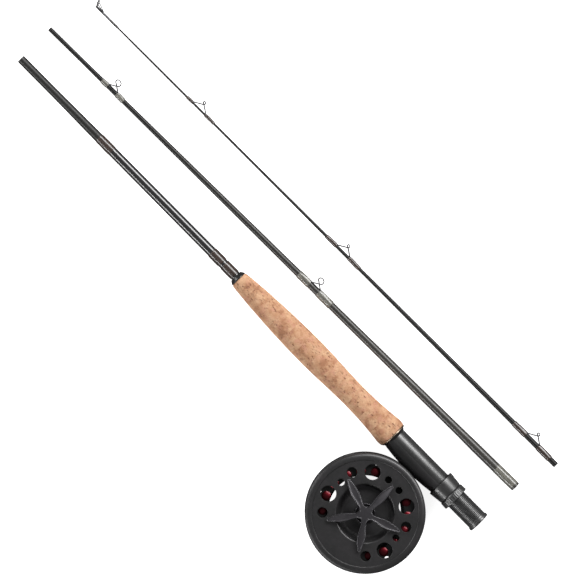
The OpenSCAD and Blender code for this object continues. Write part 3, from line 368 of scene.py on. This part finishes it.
for part in record["subparts"]:
    mesh = nodes[part["node"]].data
    mesh.materials.clear()
    mesh.materials.append(LOOKS[LOOK_OF.get(part["node"], part["material_slot"])])


# ---------------------------------------------------------------- making pieces

def add_piece(name, mesh, matrix, body, look, replaces=(), sharp_angle=38):
    """A finished piece: shaded, given its look and slot, riding on its body, standing for CAD nodes."""
    mesh.materials.append(LOOKS[look])
    mesh.shade_smooth()
    mesh.set_sharp_from_angle(angle=math.radians(sharp_angle))
    piece = bpy.data.objects.new(name, mesh)
    bpy.context.scene.collection.objects.link(piece)
    piece.matrix_world = matrix
    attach(piece, body)
    if replaces:
        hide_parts(*replaces)
    return piece


def mesh_from(name, points, faces):
    """Mesh from points in millimetres, with its faces looking outward."""
    mesh = bpy.data.meshes.new(name)
    mesh.from_pydata((np.asarray(points, float) * MM).tolist(), [], faces)
    work = bmesh.new()
    work.from_mesh(mesh)
    bmesh.ops.recalc_face_normals(work, faces=work.faces)
    work.to_mesh(mesh)
    work.free()
    return mesh


def soften(outline, radius, steps=4):
    """Outline with each corner rounded by up to radius; ends on the axis stay sharp."""
    soft = []
    count = len(outline)
    for i, corner in enumerate(outline):
        here = np.array(corner, float)
        before, after = np.array(outline[i - 1], float), np.array(outline[(i + 1) % count], float)
        if here[1] == 0:
            soft.append(tuple(here))
            continue
        back, ahead = before - here, after - here
        reach = min(radius, 0.45 * np.linalg.norm(back), 0.45 * np.linalg.norm(ahead))
        start = here + back / np.linalg.norm(back) * reach
        end = here + ahead / np.linalg.norm(ahead) * reach
        for k in range(steps + 1):
            t = k / steps
            soft.append(tuple((1 - t) ** 2 * start + 2 * t * (1 - t) * here + t * t * end))
    return soft


def lathe(outline, steps=96, offset=None):
    """Points and faces of a solid turned about X from a closed outline of (x, radius).
    offset(x, angle) is added to the radius of each point away from the axis."""
    angles = np.arange(steps) * math.tau / steps
    points, rows = [], []
    for x, radius in outline:
        if radius < 1e-6:
            rows.append([len(points)])
            points.append((x, 0.0, 0.0))
            continue
        rows.append(list(range(len(points), len(points) + steps)))
        for angle in angles:
            r = radius + (offset(x, angle) if offset else 0.0)
            points.append((x, r * math.cos(angle), r * math.sin(angle)))
    faces = []
    pairs = list(zip(rows, rows[1:]))
    if len(rows[0]) > 1 and len(rows[-1]) > 1:
        pairs.append((rows[-1], rows[0]))
    for first, second in pairs:
        for k in range(steps):
            n = (k + 1) % steps
            if len(first) == 1 and len(second) == 1:
                continue
            if len(first) == 1:
                faces.append((first[0], second[n], second[k]))
            elif len(second) == 1:
                faces.append((first[k], first[n], second[0]))
            else:
                faces.append((first[k], first[n], second[n], second[k]))
    return points, faces


def turned(name, outline, matrix, body, look, replaces=(), radius=0.3, steps=96, offset=None, sharp=38):
    """A turned piece with rounded edges."""
    points, faces = lathe(soften(outline, radius) if radius else outline, steps, offset)
    return add_piece(name, mesh_from(name, points, faces), matrix, body, look, replaces, sharp)


def taper_radius(taper, distance):
    return float(np.interp(distance, [d for d, _ in taper], [r for _, r in taper]))


# ---------------------------------------------------------------- blanks and wraps

# Distance back from the front end, outer radius
BUTT_TAPER = [(0, 3.5), (40, 3.5), (100, 4.05), (522, 4.7)]
MID_TAPER = [(0, 1.8), (40, 1.8), (463, 3.75), (478, 4.0), (523, 4.0)]
TIP_TAPER = [(0, 0.55), (45, 0.85), (185, 1.04), (466, 2.16), (518, 2.36)]
WALL = 0.75
WRAP = 0.36
BUTT_FRONT = BUTT @ Matrix.Translation((BUTT_LENGTH * MM, 0, 0))
GLOSS_STARTS = 90
# The butt tube ends inside the cap
BUTT_TUBE_END = 513.8
SOCKET_DEPTH = 40


def tube(name, taper, start, end, matrix, body, look, replaces=(), inner=None):
    """Tapered tube between two distances back from the front end, with softened rims."""
    stations = [start] + [d for d, _ in taper if start < d < end] + [end]
    outside = [(-d, taper_radius(taper, d)) for d in stations]
    inside = inner or [(-end, taper_radius(taper, end) - WALL), (-start, taper_radius(taper, start) - WALL)]
    turned(name, outside + inside, matrix, body, look, replaces, radius=0.18, steps=64)


def wrap(name, taper, start, end, matrix, body, look, replaces=(), thickness=WRAP, foot=None, seed=1):
    """Thread wrap under epoxy, domed at both ends; foot is (direction, height, side) of a guide's foot."""
    rows = 40
    dome = min(1.6, (end - start) * 0.25)
    wobble = random.Random(seed)
    waves = [(wobble.uniform(0.3, 0.9), wobble.uniform(0, math.tau), k) for k in (1, 2, 3)]
    outside = []
    for i in range(rows + 1):
        d = start + (end - start) * i / rows
        edge = min(d - start, end - d) / dome
        swell = 1.0 if edge >= 1 else math.sqrt(max(0.0, 1 - (1 - edge) ** 2))
        outside.append((-d, taper_radius(taper, d) + 0.02 + thickness * swell))
    inside = [(-end, taper_radius(taper, end) - 0.1), (-start, taper_radius(taper, start) - 0.1)]

    def offset(x, angle):
        d = -x
        radius = taper_radius(taper, d)
        edge = max(0.0, min(1.0, min(d - start, end - d) / dome))
        lump = 0.02 * edge * sum(math.sin(k * angle + d * rate + phase) for rate, phase, k in waves)
        if foot is None:
            return lump
        direction, height, side = foot
        away = (angle - direction + math.pi) % math.tau - math.pi
        along = (d - start) / (end - start)
        along = along if side > 0 else 1 - along
        reach = max(0.0, min(1.0, (1 - along) * 1.7)) if side else 1.0
        return lump + height * edge * reach * math.exp(-(away * radius / 0.95) ** 2)

    points, faces = lathe(outside + inside, 64, offset)
    add_piece(name, mesh_from(name, points, faces), matrix, body, look, replaces, 60)


def blanks():
    tube("butt_ferrule_stretch", BUTT_TAPER, 0, GLOSS_STARTS, BUTT_FRONT, "butt_section", "blank_matte")
    tube("butt_tube", BUTT_TAPER, GLOSS_STARTS, BUTT_TUBE_END, BUTT_FRONT, "butt_section", "blank_gloss",
         ["butt_blank"])
    mid_step, tip_step = SOCKET_DEPTH - MID_LENGTH, SOCKET_DEPTH - TIP_LENGTH
    tube("mid_tube", MID_TAPER, 0, MID_LENGTH, MID, "mid_section", "blank_satin", ["mid_blank"],
         [(-MID_LENGTH, 3.52), (mid_step, 3.52), (mid_step, 3.0), (0, 1.05)])
    tube("tip_tube", TIP_TAPER, 0, TIP_LENGTH, TIP, "tip_section", "blank_dark", ["tip_blank"],
         [(-TIP_LENGTH, 1.82), (tip_step, 1.82), (tip_step, 1.15), (-185, 0.35), (0, 0.3)])


# Distance back of each guide, its front wrap, its rear wrap
MID_GUIDES = [(70, 6.5, 8.2), (296.3, 12.2, 14.8)]
TIP_GUIDES = [(115, 7.4, 10.8), (277, 11.9, 12.5), (490.5, 13.9, 13.9)]
# Distance between a guide's feet, radius of its ring, height of its wire above the feet
MID_SHAPE = (9.4, 2.6, 9.6)
TIP_SHAPE = (13.2, 1.1, 6.9)
# How far each section's guides lean up from lying level
MID_LIFT, TIP_LIFT = math.radians(24), math.radians(12)
WIRE = 0.5
# Sideways reach of a guide's legs, so that they clear each other where they cross
LEG_SIDE = 0.9
# Height of a guide's wire above the blank, where it leaves the feet
WIRE_STANDS = 0.62 - WIRE + 0.12


def sweep(centres, outward, widths, heights, sides=14):
    """Points and faces of a wire along centres.

    Its section is an ellipse, with its half heights along outward and its half widths across that.
    """
    count = len(centres)
    points, faces = [], []
    for i, centre in enumerate(centres):
        tangent = centres[min(i + 1, count - 1)] - centres[max(i - 1, 0)]
        tangent = tangent / np.linalg.norm(tangent)
        out = outward[i] - tangent * outward[i].dot(tangent)
        out = out / np.linalg.norm(out)
        side = np.cross(tangent, out)
        for k in range(sides):
            a = math.tau * k / sides
            points.append(centre + heights[i] * math.cos(a) * out + widths[i] * math.sin(a) * side)
        if i:
            for k in range(sides):
                n = (k + 1) % sides
                faces.append(((i - 1) * sides + k, (i - 1) * sides + n, i * sides + n, i * sides + k))
    faces.append(tuple(range(sides)))
    faces.append(tuple(range((count - 1) * sides, count * sides)))
    return points, faces


def guide_line(span, ring, rise, base):
    """Middle line of a guide's wire: straight legs that cross and run into a ring.

    The ring's ends lie side by side.
    """
    leg_steps, ring_steps = 16, 64
    centre = rise - ring
    slope = math.atan2(centre, span / 2) - math.asin(ring / math.hypot(span / 2, centre))
    join = (ring * math.sin(slope), centre - ring * math.cos(slope))
    leg = []
    for i in range(leg_steps):
        t = i / leg_steps
        leg.append((-span / 2 + (join[0] + span / 2) * t, -LEG_SIDE * math.sin(math.pi / 2 * t),
                    base + join[1] * t))
    turn = []
    for i in range(ring_steps + 1):
        t = i / ring_steps
        a = slope - math.pi / 2 + (math.tau - 2 * slope) * t
        turn.append((ring * math.cos(a), LEG_SIDE * (2 * t - 1), base + centre + ring * math.sin(a)))
    return leg + turn + [(-x, -y, z) for x, y, z in reversed(leg)]


def wire_guide(name, taper, guide, shape, lift, matrix, body, replaces=()):
    """A wire guide standing on the blank, whose ends flatten into feet under the wraps.

    guide is its row in MID_GUIDES or TIP_GUIDES, and shape is MID_SHAPE or TIP_SHAPE.
    """
    distance, front, rear = guide
    span, ring, rise = shape
    sideways = np.array([0.0, 1.0, 0.0])
    base = taper_radius(taper, distance)
    wire_z = base + WIRE_STANDS
    centres, outward, widths, heights = [], [], [], []
    foot_steps = 14

    def foot(length, sign, order):
        for i in order:
            t = i / foot_steps
            sink = t * t * (3 - 2 * t)
            centres.append(np.array([sign * (span / 2 + t * (length - 1.2)), 0.0,
                                     wire_z - sink * (wire_z - base - 0.16)]))
            outward.append(sideways)
            heights.append(WIRE + 0.28 * math.sin(math.pi * min(1, t * 1.3)) - 0.22 * t)
            widths.append(WIRE * (1 - sink) + 0.13 * sink)

    foot(rear, -1, range(foot_steps, 0, -1))
    for centre in guide_line(span, ring, rise, wire_z):
        centres.append(np.array(centre))
        outward.append(sideways)
        widths.append(WIRE)
        heights.append(WIRE)
    foot(front, 1, range(1, foot_steps + 1))
    points, faces = sweep(centres, outward, widths, heights)
    stand = matrix @ Matrix.Translation((-distance * MM, 0, 0)) @ Matrix.Rotation(math.pi / 2 - lift, 4, "X")
    add_piece(name, mesh_from(name, points, faces), stand, body, "guide_wire", replaces, 60)


def guides(prefix, taper, rows, shape, lift, matrix, look):
    """All the guides of one section, each with a wrap over either foot."""
    body = prefix + "_section"
    span = shape[0]
    for i, row in enumerate(rows):
        distance, front, rear = row
        first = not i
        wire_guide(f"{prefix}_guide_{i + 1}", taper, row, shape, lift, matrix, body,
                   [prefix + "_snake_guides"] if first else ())
        ends = [(distance - span / 2 - front, distance - span / 2, -1),
                (distance + span / 2, distance + span / 2 + rear, 1)]
        for k, (start, end, side) in enumerate(ends):
            wrap(f"{prefix}_guide_{i + 1}_wrap_{'front' if k == 0 else 'rear'}", taper, start, end, matrix,
                 body, look, [prefix + "_guide_wraps"] if first and not k else (),
                 foot=(math.pi - lift, 0.42, side), seed=10 * i + k)


def wraps():
    wrap("ferrule_stretch_wrap", BUTT_TAPER, 89, 104, BUTT_FRONT, "butt_section", "thread_brown",
         ["ferrule_wrap"], thickness=0.16, seed=31)
    for i, (start, end) in enumerate(((217.4, 229.6), (231.4, 243.6))):
        wrap(f"trim_wrap_{i + 1}", BUTT_TAPER, start, end, BUTT_FRONT, "butt_section", "thread_brown",
             ["trim_wraps"] if not i else (), seed=40 + i)
    wrap("mid_socket_band", MID_TAPER, 501, 521, MID, "mid_section", "thread_grey", ["mid_socket_wrap"],
         thickness=0.15, seed=51)
    wrap("tip_top_band", TIP_TAPER, 15, 24, TIP, "tip_section", "thread_black", ["tip_top_wrap"], seed=61)
    guides("mid", MID_TAPER, MID_GUIDES, MID_SHAPE, MID_LIFT, MID, "thread_grey")
    guides("tip", TIP_TAPER, TIP_GUIDES, TIP_SHAPE, TIP_LIFT, TIP, "thread_brown")


# ---------------------------------------------------------------- grip

SEAT_LENGTH = 99
GRIP_LENGTH = 175
GRIP_RINGS = 12
GRIP_FRONT, GRIP_SWELL, GRIP_WAIST, GRIP_FLARE = 7.2, 11.6, 10.2, 12.6
SWELL_AT, WAIST_AT, FLARE_AT = 83, 132.3, 170
GRIP_BORE, LAST_RING_BORE = 4.2, 9.2


def grip_radius(d):
    """Radius of the grip at a distance back from its front end."""
    if d < SWELL_AT:
        return GRIP_FRONT + (GRIP_SWELL - GRIP_FRONT) * math.sin(math.pi / 2 * (d / SWELL_AT) ** 0.85)
    if d < WAIST_AT:
        t = (d - SWELL_AT) / (WAIST_AT - SWELL_AT)
        return GRIP_SWELL + (GRIP_WAIST - GRIP_SWELL) * (1 - math.cos(math.pi * t)) / 2
    if d < FLARE_AT:
        return GRIP_WAIST + (GRIP_FLARE - GRIP_WAIST) * ((d - WAIST_AT) / (FLARE_AT - WAIST_AT)) ** 2
    return GRIP_FLARE - 0.6 * ((d - FLARE_AT) / (GRIP_LENGTH - FLARE_AT)) ** 2


def grip():
    """Twelve glued rings of cork, sanded together: a hairline at each seam and open pits."""
    rng = random.Random(7)
    ring_length = GRIP_LENGTH / GRIP_RINGS
    rows, steps = 44, 220
    points, faces, rings = [], [], []
    for ring in range(GRIP_RINGS):
        start = ring * ring_length
        proud = rng.uniform(-0.03, 0.03)
        shift = Vector((rng.uniform(0, 90), rng.uniform(0, 90), rng.uniform(0, 90)))
        outline = []
        for i in range(rows + 1):
            d = start + ring_length * i / rows
            edge = min(i, rows - i) * ring_length / rows
            groove = 0.10 * max(0.0, 1 - edge / 0.35)
            front = 0.9 * max(0.0, 1 - d / 1.2) ** 2
            outline.append((-d, grip_radius(d) + proud - groove - front))
        bore = GRIP_BORE if ring < GRIP_RINGS - 1 else LAST_RING_BORE
        outline += [(-(start + ring_length), bore), (-start, bore)]

        def offset(x, angle):
            r = grip_radius(-x)
            place = Vector((x, r * math.cos(angle), r * math.sin(angle))) + shift
            pit = noise.noise(place * 0.646)
            where = noise.noise(place * 0.12)
            fine = noise.noise(place * 2.4)
            deep = max(0.0, pit - 0.33 + 0.18 * where) * 0.75
            return -min(0.30, deep) - 0.02 * fine

        ring_points, ring_faces = lathe(outline, steps, offset)
        base = len(points)
        points += ring_points
        faces += [tuple(base + v for v in face) for face in ring_faces]
        rings += [ring + 1.0] * len(ring_points)
    mesh = mesh_from("cork_grip", points, faces)
    mesh.attributes.new("ring", "FLOAT", "POINT").data.foreach_set("value", rings)
    matrix = BUTT @ Matrix.Translation(((SEAT_LENGTH + GRIP_LENGTH) * MM, 0, 0))
    add_piece("cork_grip", mesh, matrix, "butt_section", "cork", ["cork_rings_odd", "cork_rings_even"], 50)


# ---------------------------------------------------------------- reel seat

SEAT_RADIUS, TAIL_RADIUS, SEAT_BORE = 9.05, 8.7, 7.5
CAP_THICKNESS = 2.8
THREAD_PITCH = 1.2
HOOD_REAR, HOOD_FRONT = 33.4, 44.8
NUT_REAR, NUT_FRONT = 26.9, 33.1
HOOD_FRONT_RADIUS, HOOD_REAR_RADIUS = 11.8, 10.6
BARREL_END = 106.5
PLAY = 0.05
# Bead of wire lying against the cork, open over the foot's pocket
BEAD_RADIUS, BEAD_WIRE = 11.35, 0.62
BEAD_GAP = math.radians(42)


def barrel():
    """Barrel with a helical thread on its tail."""
    thread_start, thread_end = CAP_THICKNESS + 0.8, HOOD_REAR
    rows = 300
    thread_rows = [(thread_start + (thread_end - thread_start) * i / rows, TAIL_RADIUS)
                   for i in range(rows + 1)]
    outline = [(CAP_THICKNESS, SEAT_BORE), (CAP_THICKNESS, TAIL_RADIUS), *thread_rows,
               (34.4, TAIL_RADIUS), (34.8, SEAT_RADIUS - 0.1), (35.0, SEAT_RADIUS),
               (BARREL_END, SEAT_RADIUS), (BARREL_END, SEAT_BORE)]

    def groove(x, angle):
        if not thread_start < x < thread_end:
            return 0.0
        phase = (x / THREAD_PITCH - angle / math.tau) % 1.0
        fade = min(1.0, (x - thread_start) / 1.2, (thread_end - x) / 1.2)
        return -0.42 * fade * max(0.0, math.cos(math.tau * (phase - 0.5))) ** 1.4

    points, faces = lathe(outline, 120, groove)
    add_piece("threaded_barrel", mesh_from("threaded_barrel", points, faces), BUTT, "butt_section",
              "seat_graphite", ["seat_barrel"], 50)


def seat():
    barrel()
    turned("hood_sleeve", [
        (HOOD_REAR, SEAT_RADIUS + PLAY), (HOOD_REAR, HOOD_REAR_RADIUS),
        (HOOD_FRONT - 1.1, HOOD_FRONT_RADIUS), (HOOD_FRONT, HOOD_FRONT_RADIUS), (HOOD_FRONT, 10.75),
        (37.5, 10.05), (37.5, SEAT_RADIUS + PLAY),
    ], BUTT, "hood", "seat_graphite", ["sliding_hood"], 0.35)

    flutes, nut_radius = 40, HOOD_REAR_RADIUS + 0.75

    def knurl(x, angle):
        inside = NUT_REAR + 0.7 < x < NUT_FRONT - 1.3
        return -0.16 * (0.5 - 0.5 * math.cos(flutes * angle)) if inside else 0.0

    turned("knurled_nut", [
        (NUT_REAR, TAIL_RADIUS + PLAY), (NUT_REAR, nut_radius - 0.2), (NUT_REAR + 0.35, nut_radius),
        (NUT_REAR + 0.8, nut_radius), (NUT_FRONT - 1.4, nut_radius - 0.15),
        (NUT_FRONT - 1.0, nut_radius - 0.2),
        (NUT_FRONT, HOOD_REAR_RADIUS - 0.1), (NUT_FRONT, TAIL_RADIUS + PLAY),
    ], BUTT, "nut", "seat_graphite", ["lock_nut"], 0.16, 240, knurl, 50)
    turned("end_cap", [
        (0.15, 0), (0.1, 5.0), (0.0, 6.8), (0.15, TAIL_RADIUS + 0.15), (0.7, TAIL_RADIUS + 0.6),
        (CAP_THICKNESS - 0.4, TAIL_RADIUS + 0.6), (CAP_THICKNESS, TAIL_RADIUS + 0.3),
        (CAP_THICKNESS, SEAT_BORE), (7.8, SEAT_BORE), (7.8, 0),
    ], BUTT, "butt_section", "seat_graphite", ["butt_cap"], 0.3)
    collar = SEAT_LENGTH + GRIP_LENGTH
    turned("grip_collar", [(collar, 4.3), (collar, 7.0), (collar + 0.6, 7.05), (collar + 3.5, 5.2),
                           (collar + 3.5, 4.3)],
           BUTT, "butt_section", "trim_black", ["winding_check"], 0.3)
    bead_steps = 120
    bead = []
    for i in range(bead_steps + 1):
        a = BEAD_GAP + (math.tau - 2 * BEAD_GAP) * i / bead_steps
        bead.append(np.array([SEAT_LENGTH - 0.75, BEAD_RADIUS * math.cos(a), BEAD_RADIUS * math.sin(a)]))
    outward = [point * (0, 1, 1) / BEAD_RADIUS for point in bead]
    thickness = [BEAD_WIRE] * len(bead)
    points, faces = sweep(bead, outward, thickness, thickness)
    add_piece("grip_bead", mesh_from("grip_bead", points, faces), BUTT, "butt_section", "trim_bronze", (), 60)


# ---------------------------------------------------------------- reel

# The reel's own axis as the lathe's X
SPOOL_AXIS = REEL @ Matrix.Rotation(-math.pi / 2, 4, "Y")
KNOB_TOP = 23.5
BLADES = 5
BLADE_END = 31.1
# Inside this radius the five blades are one disc
ROOT_RADIUS = 5.25
TIP_HALF = 0.95
BLADE_WAIST, BLADE_SWELL = 1.55, 1.95
BLADE_HOLLOW, BLADE_THICKNESS = 0.45, 2.1
# Place in from the edge and height of the raised line along each edge
EDGE_LINE, EDGE_HEIGHT = 0.38, 0.42
HANDLE_ARM = 37


def blade_half_width(r):
    """Half the width of a blade at radius r."""
    web = r * math.tan(math.pi / BLADES)
    if r <= ROOT_RADIUS:
        return web
    s = (r - ROOT_RADIUS) / (BLADE_END - ROOT_RADIUS)
    leaf = BLADE_WAIST + BLADE_SWELL * math.sin(math.pi * s ** 1.15) ** 1.2 - (BLADE_WAIST - TIP_HALF) * s
    fillet = (ROOT_RADIUS * math.tan(math.pi / BLADES) - BLADE_WAIST) * math.exp(-(r - ROOT_RADIUS) / 1.1)
    past = max(0.0, (r - (BLADE_END - TIP_HALF)) / TIP_HALF)
    return max(0.06, (leaf + fillet) * math.sqrt(max(0.0, 1 - past * past)))


def knob_blades():
    """Points and faces of the five-pointed star: hollow leaves with a raised line along every edge."""
    radii = [0.35] + list(np.linspace(0.8, ROOT_RADIUS, 9))
    radii += list(np.linspace(ROOT_RADIUS, BLADE_END - TIP_HALF, 70)[1:])
    radii += [BLADE_END - TIP_HALF + TIP_HALF * math.sin(math.pi / 2 * k / 8) for k in range(1, 9)]
    columns = 28
    across = [math.sin(math.pi / 2 * (-1 + 2 * k / columns)) for k in range(columns + 1)]
    width = columns + 1
    points, faces = [], []
    for i in range(BLADES):
        turn = -math.pi / 2 + math.tau * i / BLADES
        base = len(points)
        for r in radii:
            half = blade_half_width(r)
            spread = math.atan(half / r)
            leaf = min(1.0, max(0.0, (r - ROOT_RADIUS) / 6))
            crown = KNOB_TOP - r * r / 230
            for layer in (0, 1):
                for u in across:
                    if r < ROOT_RADIUS:
                        edge = math.hypot(ROOT_RADIUS - r, (1 - abs(u)) * half)
                    else:
                        edge = min((1 - abs(u)) * half, BLADE_END - r)
                    z = crown + EDGE_HEIGHT * math.exp(-((edge - EDGE_LINE) / 0.3) ** 2)
                    z -= BLADE_HOLLOW * leaf * (1 - u * u)
                    if layer:
                        z = crown - BLADE_THICKNESS + 0.8 * r / BLADE_END + 0.3 * u ** 4
                    angle = turn + u * spread
                    points.append((r * math.cos(angle), r * math.sin(angle), z))
        ring = 2 * width
        for j in range(len(radii) - 1):
            for k in range(columns):
                a = base + j * ring + k
                faces.append((a, a + ring, a + ring + 1, a + 1))
                faces.append((a + width, a + width + 1, a + width + ring + 1, a + width + ring))
            if radii[j + 1] > ROOT_RADIUS + 1e-6:
                for k in (0, columns):
                    a = base + j * ring + k
                    faces.append((a, a + ring, a + ring + width, a + width))
        last = base + (len(radii) - 1) * ring
        faces += [(last + k, last + k + 1, last + width + k + 1, last + width + k) for k in range(columns)]
    return points, faces


def knob():
    """Five leaf blades cast in one, standing on a boss inside a round hub with a raised rim."""
    points, faces = knob_blades()
    mesh = mesh_from("knob_blades", points, faces)
    work = bmesh.new()
    work.from_mesh(mesh)
    bmesh.ops.remove_doubles(work, verts=work.verts, dist=0.01 * MM)
    holes = [edge for edge in work.edges if edge.is_boundary]
    bmesh.ops.holes_fill(work, edges=holes, sides=0)
    bmesh.ops.recalc_face_normals(work, faces=work.faces)
    work.to_mesh(mesh)
    work.free()
    add_piece("knob_blades", mesh, REEL, "drag_adjuster", "knob_grey", ["drag_knob"], 50)
    turned("knob_hub_ring", [
        (12.2, 3.05), (12.2, 8.1), (12.5, 8.6), (17.2, 8.6), (18.0, 8.1), (18.0, 7.4), (17.2, 6.7),
        (16.9, 5.6), (18.5, 4.4), (KNOB_TOP - 1.9, 3.9), (KNOB_TOP - 1.9, 0.9), (19.6, 0.9), (19.6, 3.05),
    ], SPOOL_AXIS, "drag_adjuster", "knob_hub", (), 0.3, 120)


def handle():
    """Turned crank knob: waist, belly and three finger grooves."""
    start, length = 15.2, 17.0
    outline = [(-start, 2.05), (-start, 4.1)]
    for i in range(61):
        t = i / 60
        radius = 4.6 + 0.2 * t + 1.6 * math.sin(math.pi * t ** 1.25)
        groove = sum(0.22 * math.exp(-((t - at) * length / 0.55) ** 2) for at in (0.42, 0.55, 0.68))
        outline.append((-(start + 0.5 + (length - 1.1) * t), radius - groove))
    outline += [(-(start + length), 4.2), (-(start + length), 3.3), (-(start + length - 1.9), 3.3),
                (-(start + length - 1.9), 2.05)]
    arm = SPOOL_AXIS @ Matrix.Translation((0, HANDLE_ARM * MM, 0))
    turned("crank_knob", outline, arm, "handle", "handle_black", ["handle_knob"], 0.25)


blanks()
wraps()
grip()
seat()
knob()
handle()


# ---------------------------------------------------------------- floor, light and camera

def floor():
    bpy.ops.mesh.primitive_plane_add(size=8)
    plane = bpy.context.object
    plane.name = "floor"
    look = Look("floor", base_color=(0.88, 0.88, 0.875), roughness=0.85,
                emission_color=(1.0, 1.0, 1.0), emission_strength=0.85)
    plane.data.materials.append(look.material)
    plane.visible_glossy = False


def softbox(name, place, size, power):
    """Rectangular area light at place, facing the origin; size is (width, height)."""
    light = bpy.data.lights.new(name, "AREA")
    light.shape = "RECTANGLE"
    light.size, light.size_y = size
    light.energy = power
    lamp = bpy.data.objects.new(name, light)
    bpy.context.scene.collection.objects.link(lamp)
    lamp.location = place
    lamp.rotation_euler = (-Vector(place)).to_track_quat("-Z", "Y").to_euler()


def world(strength):
    scene_world = bpy.data.worlds.new("studio")
    scene_world.use_nodes = True
    background = scene_world.node_tree.nodes["Background"]
    background.inputs["Color"].default_value = (1.0, 1.0, 1.0, 1)
    background.inputs["Strength"].default_value = strength
    bpy.context.scene.world = scene_world


VIEW_WIDTH = 459.2 * MM
CAMERA_DISTANCE = 3.2
SENSOR = 36.0
VIEW_CENTRE = (242.5, -23.1, 0)
VIEW_ROLL = math.radians(45.33)


def camera():
    """Long lens along the spool's axis, rolled so that the rod runs from upper left to lower right."""
    data = bpy.data.cameras.new("camera")
    data.sensor_width = SENSOR
    data.lens = SENSOR * CAMERA_DISTANCE / VIEW_WIDTH
    data.clip_end = 20
    eye = bpy.data.objects.new("camera", data)
    bpy.context.scene.collection.objects.link(eye)
    rod, side, axis = (REEL.col[i].xyz for i in range(3))
    up = rod * math.sin(VIEW_ROLL) - side * math.cos(VIEW_ROLL)
    right = up.cross(axis)
    matrix = Matrix((right, up, axis)).transposed().to_4x4()
    matrix.translation = BUTT @ (Vector(VIEW_CENTRE) * MM) + axis * CAMERA_DISTANCE
    eye.matrix_world = matrix
    bpy.context.scene.camera = eye


floor()
world(0.16)
softbox("key", (0.2, -1.8, 1.0), (2.6, 0.9), 78)
softbox("fill", (0.0, 1.8, 1.4), (2.6, 0.24), 40)
softbox("front", (1.9, 0.5, 1.1), (0.8, 1.0), 16)
bpy.context.scene.view_settings.view_transform = "Standard"
camera()
